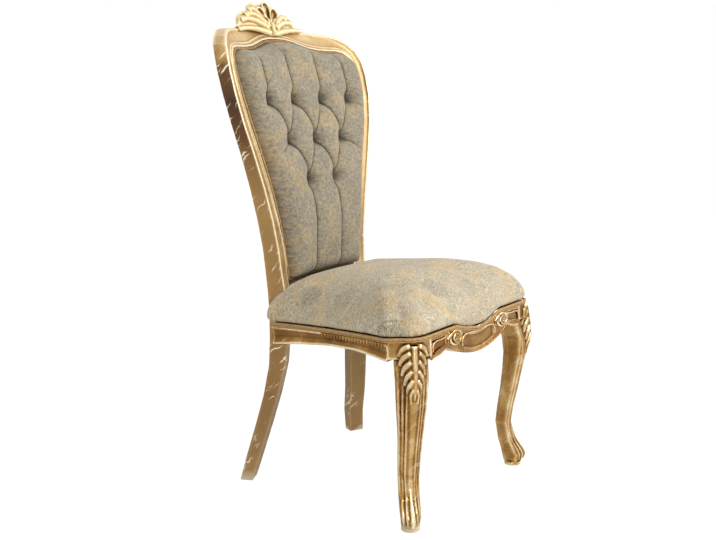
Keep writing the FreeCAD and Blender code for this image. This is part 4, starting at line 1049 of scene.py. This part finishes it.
def railRope():
    # Along the sides, on the upper bead of the rail
    side = seatSide()
    start = next(n for n, p in enumerate(side) if p.y > seat["widest"] - 0.002)
    lines = [[onSeat(sign * (p.x + rails["ropeOut"]), p.y, -rails["ropeDrop"])
              for p in side[start:] if p.y < rails["ropeEnd"]] for sign in (1, -1)]
    return cordPiece("railRope", lines, rails["rope"], plainGilt)


def apronBeads(face):
    # Along the lower edge of the front rail
    notch = (apron["halfNotch"], -apron["notchHeight"])
    low = arcPoints((apron["halfSpan"], -apron["sideHeight"]), apron["sideMiddle"], notch, 10)
    middle = arcPoints(notch, (0.0, -apron["middleHeight"]), (-notch[0], notch[1]), 40)
    edge = low + middle[1:] + [Vector((-p.x, p.y)) for p in reversed(low[:-1])]
    line = [onSeat(p.x, face, p.y + apron["beadLift"]) for p in edge]
    return cordPiece("apronBeads", [line], rails["edgeBead"], plainGilt)


def panelMoulding(face):
    # Raised border of the middle panel and the scrolls beside it
    border = [(-x, z) for x, z in reversed(apron["border"][1:])] + list(apron["border"])
    strokes = [[(onSeat(x, face, z), apron["borderRadius"]) for x, z in border]]
    for sign in (1, -1):
        strokes.append([(onSeat(sign * x, face, z), apron["scrollRadius"]) for x, z in apron["scroll"]])
    return remeshed(tubeMesh(strokes), "panelMoulding", apron, carvedGilt)


def makeRails():
    for name, node in (("sideRailRight", "side_seat_rail_right"), ("sideRailLeft", "side_seat_rail_left"),
                       ("frontRail", "front_seat_rail")):
        piece = remeshed(solidCopy(node), name, rails, carvedGilt)
        markRelief(piece, rails["relief"])
        declareSmooth(piece, rails, "gilt_frame", node)
    face = apron["face"] - apron["proud"]
    declare(railRope(), "gilt_frame")
    declare(apronBeads(face), "gilt_frame")
    moulding = panelMoulding(face)
    markRelief(moulding, apron["relief"])
    declareSmooth(moulding, apron, "gilt_carving")


makeRails()
print("rails carved")

# Medallions: a boss in a ring of scrolled leaves
medallion = {
    "across": 0.103,
    "drop": 0.026,
    "voxel": 0.0010,
    "smoothing": 1,
    "relief": 0.0010,
    "sharpFrom": 70,
    # Share by which the curl of an open oval draws in
    "curl": 0.35,
    # Reach across and up, start and end in degrees, height above the rail and thickness
    "ovals": ((0.0215, 0.0135, 0, 360, 0.0030, 0.0032), (0.0130, 0.0082, 200, -70, 0.0050, 0.0030),
              (0.0040, 0.0026, 0, 360, 0.0055, 0.0032)),
    # Leaf to each side: across, up, height above the rail and thickness
    "wing": ((0.016, 0.010, 0.003, 0.0034), (0.024, 0.008, 0.003, 0.0034), (0.029, 0.001, 0.001, 0.0026)),
}


def makeMedallions():
    face = apron["face"]
    middle, level = medallion["across"], -medallion["drop"]

    def oval(reachX, reachZ, start, end, lift, radius, steps=20):
        points = []
        for number in range(steps + 1):
            share = number / steps
            turn = math.radians(start + (end - start) * share)
            closing = 1 - medallion["curl"] * share * (end - start < 360)
            points.append((onSeat(middle + reachX * closing * math.cos(turn), face - lift,
                                  level + reachZ * closing * math.sin(turn)), radius))
        return points

    strokes = [oval(*values) for values in medallion["ovals"]]
    for side in (1, -1):
        strokes.append([(onSeat(middle + side * across, face - lift, level + up), radius)
                        for across, up, lift, radius in medallion["wing"]])
    mesh = joined(solidCopy("rail_medallion_right"), tubeMesh(strokes))
    right = remeshed(mesh, "medallionRight", medallion, carvedGilt)
    markRelief(right, medallion["relief"])
    declarePair(right, "medallionLeft", medallion, "gilt_carving", "rail_medallion")


makeMedallions()
print("medallions carved")


# Cloth laid on a surface
def layCloth(piece, flatPlace):
    # Places of the cloth's own flat surface, in metres, as UV
    mesh = piece.data
    flat = np.array([flatPlace(vertex.co) for vertex in mesh.vertices], np.float32)
    corners = readArray(mesh.loops, "vertex_index", 1, np.int32).ravel()
    mesh.uv_layers.new(name="cloth").data.foreach_set("uv", flat[corners].ravel())


# Seat cushion
cushion = {
    "voxel": 0.005,
    "smoothing": 9,
    "relief": 0.004,
    "sharpFrom": 60,
    "fill": 0.85,
    "pressure": 4.0,
    "reach": 0.006,
    "frames": 20,
    "heldBelow": 0.425,
    # Middle of the cloth's figure, and how fast the cloth runs on down the sides
    "clothMiddle": -0.08,
    "clothFall": 0.8,
}


def swell(piece, values):
    # Cloth under pressure with its lower edge held, each point kept within reach of where it began
    start = coordinates(piece.data)
    held = piece.vertex_groups.new(name="held")
    held.add([n for n, p in enumerate(start) if p[2] < values["heldBelow"]], 1.0, "REPLACE")
    cloth = piece.modifiers.new("cloth", "CLOTH")
    cloth.settings.vertex_group_mass = "held"
    cloth.settings.use_pressure = True
    cloth.settings.uniform_pressure_force = values["pressure"]
    cloth.settings.effector_weights.gravity = 0
    cloth.settings.quality = 5
    cloth.collision_settings.use_collision = False
    cloth.point_cache.frame_start = 1
    cloth.point_cache.frame_end = values["frames"]
    for number in range(1, values["frames"] + 1):
        scene.frame_set(number)
    blown = evaluatedMesh(piece)
    moved = coordinates(blown) - start
    far = np.linalg.norm(moved, axis=1)
    moved *= np.minimum(1.0, values["reach"] / np.maximum(far, 1e-9))[:, None]
    piece.modifiers.remove(cloth)
    piece.vertex_groups.clear()
    setCoordinates(piece.data, start + moved)
    bpy.data.meshes.remove(blown)
    scene.frame_set(1)


def makeCushion():
    piece = remeshed(solidCopy("seat_cushion"), "seatCushion", cushion)
    swell(piece, cushion)
    finer = piece.modifiers.new("finer", "SUBSURF")
    finer.render_levels = 1
    finer.levels = 1
    piece = finished(piece, "seatCushion", seatDamask)
    top = float(coordinates(piece.data)[:, 2].max())

    def flat(place):
        out = Vector((place.x, place.y - cushion["clothMiddle"]))
        reach = out.length
        growth = (reach + cushion["clothFall"] * (top - place.z)) / max(reach, 0.001)
        return out.x * growth, out.y * growth

    layCloth(piece, flat)
    markRelief(piece, cushion["relief"])
    declareSmooth(piece, cushion, "damask", "seat_cushion")


makeCushion()
print("seat cushion stuffed")

# Tufted back
back = {
    "level": 0.482,
    "setback": 0.1345,
    "hollow": 0.560,
    "curl": 1.650,
    "lean": 3.4,
    "fill": 0.7,
    "stuffing": 0.042,
    # Fall of the crown to the sides, its share at the foot and the height over which it grows full
    "crownFall": 0.6,
    "footShare": 0.6,
    "footReach": 0.13,
    # Height up to which the width is measured, and the least half width
    "widthTop": 0.975,
    "leastHalf": 0.15,
    "puff": 0.019,
    "puffReach": 0.042,
    "pleatRise": 0.009,
    "pleatBulge": 0.009,
    "crease": 0.0042,
    "creaseReach": 0.0030,
    "edgeReach": 0.030,
    "pit": 0.024,
    "pitReach": 0.0165,
    "softCrease": 0.25,
    "pitShade": 0.34,
    "relief": 0.0022,
    "sharpFrom": 80,
    "grid": 0.0021,
    "bottom": 0.4692,
    "top": 1.0035,
    "halfSpan": 0.22,
    "edgeGap": 0.0062,
    "foot": 0.002,
    "padBack": 0.010,
    "backGap": 0.001,
    "figureShift": 0.04,
    "step": 0.0975,
    "topRow": 0.869,
    "rowSpacing": 0.090,
}
# Tufts, in steps to the side and rows down from the top one
tuftShares = (
    (0.53, 0), (-0.53, 0), (1.52, 0), (-1.52, 0), (0.0, 1), (1.0, 1), (-1.0, 1), (0.5, 2), (-0.5, 2))
tufts = [(back["step"] * x, back["topRow"] - back["rowSpacing"] * row) for x, row in tuftShares]


def hollowAt(x, z):
    # Hollow front face of the frame, as setback
    rise = z - back["level"]
    return (back["setback"] + rise * math.tan(math.radians(back["lean"])) + rise * rise / (2 * back["curl"])
            - x * x / (2 * back["hollow"]))


def inside(points, x, z):
    # Which places lie within a closed outline
    hit = np.zeros(x.shape, bool)
    for (ax, az), (bx, bz) in zip(points, points[1:] + points[:1]):
        if az != bz:
            crosses = (az > z) != (bz > z)
            hit ^= crosses & (x < (bx - ax) * (z - az) / (bz - az) + ax)
    return hit


def fromLine(points, x, z):
    # Least distance to a line of points, and the share of the line's length where it lies
    best = np.full(x.shape, 9.0)
    share = np.zeros(x.shape)
    lengths = [(b - a).length for a, b in zip(points, points[1:])]
    total, walked = sum(lengths), 0.0
    for (ax, az), (bx, bz), length in zip(points, points[1:], lengths):
        dx, dz = bx - ax, bz - az
        along = np.clip(((x - ax) * dx + (z - az) * dz) / (length * length), 0, 1)
        away = np.hypot(x - ax - dx * along, z - az - dz * along)
        nearer = away < best
        best = np.where(nearer, away, best)
        share = np.where(nearer, (walked + along * length) / total, share)
        walked += length
    return best, share


def pleatLines():
    # Folds from tuft to tuft and from the tufts to the edges, each with the share of its depth that it
    # keeps, whether it ends in a tuft and how sharp its crease is
    step, drop = back["step"], back["rowSpacing"]
    top = back["topRow"]
    middle, low = top - drop, top - 2 * drop
    lines = []

    def fold(ax, az, bx, bz, strength=1.0, tufted=True, bulge=1.0):
        start, end = Vector((step * ax, az)), Vector((step * bx, bz))
        run = end - start
        out = Vector((-run.y, run.x)).normalized()
        out = -out if out.y < 0 else out
        points = [start + run * t + out * (back["pleatBulge"] * bulge * 4 * t * (1 - t))
                  for t in (n / 7 for n in range(8))]
        for sign in (1, -1):
            # Folds that fall to the sitter's right are soft, those that fall to the left are sharp
            sharp = 1.0 if not tufted or sign * (bx - ax) > 0 else back["softCrease"]
            lines.append(([Vector((sign * p.x, p.y)) for p in points], strength, tufted, sharp))

    fold(0.53, top, 0.0, middle)
    fold(0.53, top, 1.0, middle)
    fold(1.52, top, 1.0, middle)
    fold(0.0, middle, 0.5, low)
    fold(1.0, middle, 0.5, low)
    fold(0.53, top, 0.56, 1.01, tufted=False, bulge=0.15)
    fold(1.52, top, 1.50, 1.01, tufted=False, bulge=0.15)
    fold(0.5, low, 0.49, 0.44, tufted=False, bulge=0.1)
    fold(1.52, top, 2.3, top - 0.05, 0.5, False, 0.4)
    fold(1.0, middle, 1.85, middle - 0.05, 0.8, False, 0.4)
    return lines


def outlineHalf(z):
    # Half width of the opening at each height
    best = np.zeros(z.shape)
    for (ax, az), (bx, bz) in zip(opening, opening[1:] + opening[:1]):
        if az != bz:
            across = np.abs(ax + (bx - ax) * (z - az) / (bz - az))
            best = np.where((az - z) * (bz - z) <= 0, np.maximum(best, across), best)
    return best


def padDepth(x, z, inner):
    # How far the stuffed cloth stands in front of the frame's hollow face
    edge = fromLine(inner + inner[:1], x, z)[0]
    rim = np.clip(edge / back["edgeReach"], 0, 1)
    rim = np.sqrt(1 - (1 - rim) ** 2)
    half = np.maximum(outlineHalf(np.minimum(z, back["widthTop"])), back["leastHalf"])
    crown = back["stuffing"] * (1 - back["crownFall"] * (x / half) ** 2)
    low = back["footShare"]
    crown = crown * np.clip(low + (1 - low) * (z - back["bottom"]) / back["footReach"], 0, 1)
    puff = np.full(x.shape, back["puff"])
    crease = np.zeros(x.shape)
    for points, strength, tufted, sharp in pleatLines():
        away, along = fromLine(points, x, z)
        floor = back["pleatRise"] * (np.sin(np.pi * along) if tufted else np.clip(4 * along, 0, 1))
        fade = strength if strength == 1 else strength * (1 - along)
        share = np.clip(away / back["puffReach"], 0, 1)
        rounded = np.sqrt(1 - (1 - share) ** 2)
        puff = np.minimum(puff, back["puff"] - (back["puff"] - floor) * (1 - rounded) * fade)
        line = np.exp(-(away / back["creaseReach"]) ** 2)
        crease = np.maximum(crease, sharp * fade * back["crease"] * line)
    pit = np.zeros(x.shape)
    for tx, tz in tufts:
        pit = np.maximum(pit, np.exp(-((x - tx) ** 2 + (z - tz) ** 2) / back["pitReach"] ** 2))
    return rim * (crown + puff - crease - back["pit"] * pit)


def makePad():
    inner = inset(opening, back["edgeGap"])
    rows = int((back["top"] - back["bottom"]) / back["grid"])
    columns = int(2 * back["halfSpan"] / back["grid"])
    across, up = np.meshgrid(np.linspace(-back["halfSpan"], back["halfSpan"], columns + 1),
                             np.linspace(back["bottom"], back["top"], rows + 1))
    front = hollowAt(across, up) + back["foot"] - padDepth(across, up, inner)
    shape = bmesh.new()
    made = {}
    for r, c in zip(*np.nonzero(inside(inner, across, up))):
        made[(r, c)] = shape.verts.new((across[r, c], front[r, c], up[r, c]))
    for r, c in made:
        corners = [made.get(key) for key in ((r, c), (r, c + 1), (r + 1, c + 1), (r + 1, c))]
        if None not in corners:
            shape.faces.new(corners)
    for vertex in [v for v in shape.verts if not v.link_faces]:
        shape.verts.remove(vertex)
    # Closed behind by a skirt and a flat back
    border = [edge for edge in shape.edges if len(edge.link_faces) == 1]
    wall = bmesh.ops.extrude_edge_only(shape, edges=border)
    for item in wall["geom"]:
        if isinstance(item, bmesh.types.BMVert):
            item.co.y = hollowAt(item.co.x, item.co.z) + back["padBack"] - back["backGap"]
    bmesh.ops.holes_fill(shape, edges=[e for e in shape.edges if len(e.link_faces) == 1], sides=0)
    bmesh.ops.recalc_face_normals(shape, faces=shape.faces)
    piece = newObject("backPad", meshOf(shape, "backPad"), backDamask)
    layCloth(piece, lambda place: (place.x + back["figureShift"], place.z))
    markRelief(piece, back["relief"], 1, 10)
    # Painted shade: the cloth is painted darkest down in the pits, by lowering its relief there
    layer = piece.data.attributes["relief"].data
    values = readArray(layer, "value", 1).ravel()
    places = coordinates(piece.data)
    for tx, tz in tufts:
        near = ((places[:, 0] - tx) ** 2 + (places[:, 2] - tz) ** 2) / back["pitReach"] ** 2
        values -= back["pitShade"] * np.exp(-near)
    layer.foreach_set("value", np.clip(values, 0, 1))
    declareSmooth(piece, back, "damask", "back_pad")
    return piece


backPad = makePad()
print("back tufted")

# Covered buttons in the tufts
# The buttons' relief is fixed low, which paints them with the shade of the pits
button = {"radius": 0.0062, "thickness": 0.5, "sink": 0.0005, "relief": 0.32}


def makeButtons():
    shape = bmesh.new()
    tree = BVHTree.FromObject(backPad, bpy.context.evaluated_depsgraph_get())
    for x, z in tufts:
        hit = tree.ray_cast(Vector((x, -0.5, z)), Vector((0, 1, 0)))[0]
        made = bmesh.ops.create_uvsphere(shape, u_segments=20, v_segments=12, radius=button["radius"])
        for vertex in made["verts"]:
            vertex.co.y *= button["thickness"]
            vertex.co += Vector((x, hit.y - button["sink"], z))
    mesh = meshOf(shape, "tuftButtons")
    piece = newObject("tuftButtons", mesh, backDamask)
    layCloth(piece, lambda place: (place.x, place.z))
    # Painted shade on the buttons, through the fixed low relief
    setRelief(mesh, [button["relief"]] * len(mesh.vertices))
    mesh.shade_smooth()
    declare(piece, "damask", "tuft_buttons")


makeButtons()
print("buttons sewn in")

# Two cords round the opening of the back: drawn in from its edge and standing forward by
backCords = ((0.0020, 0.0022), (0.0048, 0.0016))
backGimp = {**gimp, "Pitch": 0.0023, "Width": 0.0030, "Length": 0.0042, "Core": 0.0012}


def makeBackGimp():
    lines = [[Vector((p.x, hollowAt(p.x, p.y) + forward, p.y)) for p in inset(opening, inward)]
             for inward, forward in backCords]
    declare(cordPiece("backGimp", lines, backGimp, gimpCloth, True), "braid", "back_gimp")


makeBackGimp()
print("back gimp sewn")

# Cloth at the back and below. The flat sizes, in metres, are read off the exact solids of the parts: a size
# along the middle and across the widest place, an area from volume over thickness or from the skin
backCover = {"flatSize": (0.458, 0.660), "flatArea": 0.2231, "relief": 0.5, "sharpFrom": 40}


def coverSheet(name, node, material, outward):
    # The skin of a packed layer on one side, as a single sheet
    shape = gathered([solidCopy(node)])
    shape.normal_update()
    others = [face for face in shape.faces if face.normal.dot(Vector(outward)) < 0.5]
    bmesh.ops.delete(shape, geom=others, context="FACES")
    return newObject(name, meshOf(shape, name), material)


def makeOutsideBack():
    piece = coverSheet("outsideBack", "outside_back_cover", backDamask, (0, 1, 0))
    layCloth(piece, lambda place: (place.x + back["figureShift"], place.z))
    setRelief(piece.data, [backCover["relief"]] * len(piece.data.vertices))
    piece.data.shade_smooth()
    declare(piece, "damask", "outside_back_cover")
    piece = newObject("outsideGimp", solidCopy("outside_back_gimp"), gimpCloth)
    declareSmooth(piece, backCover, "braid", "outside_back_gimp")


makeOutsideBack()


def makeUnderside():
    piece = coverSheet("dustCover", "dust_cover", liningCloth, (0, 0, -1))
    piece.data.shade_smooth()
    declare(piece, "cambric", "dust_cover")
    piece = coverSheet("seatWebbing", "seat_webbing", juteCloth, (0, 0, -1))
    declare(piece, "webbing", "seat_webbing")


makeUnderside()
print("covers stretched")

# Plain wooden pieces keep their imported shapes
for node, material in (("rear_seat_rail", plainGilt), ("back_lower_rail", beech), ("corner_blocks", beech),
                       ("back_board", board)):
    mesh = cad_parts[node].data
    mesh.materials.clear()
    mesh.materials.append(material)

print("scene finished")
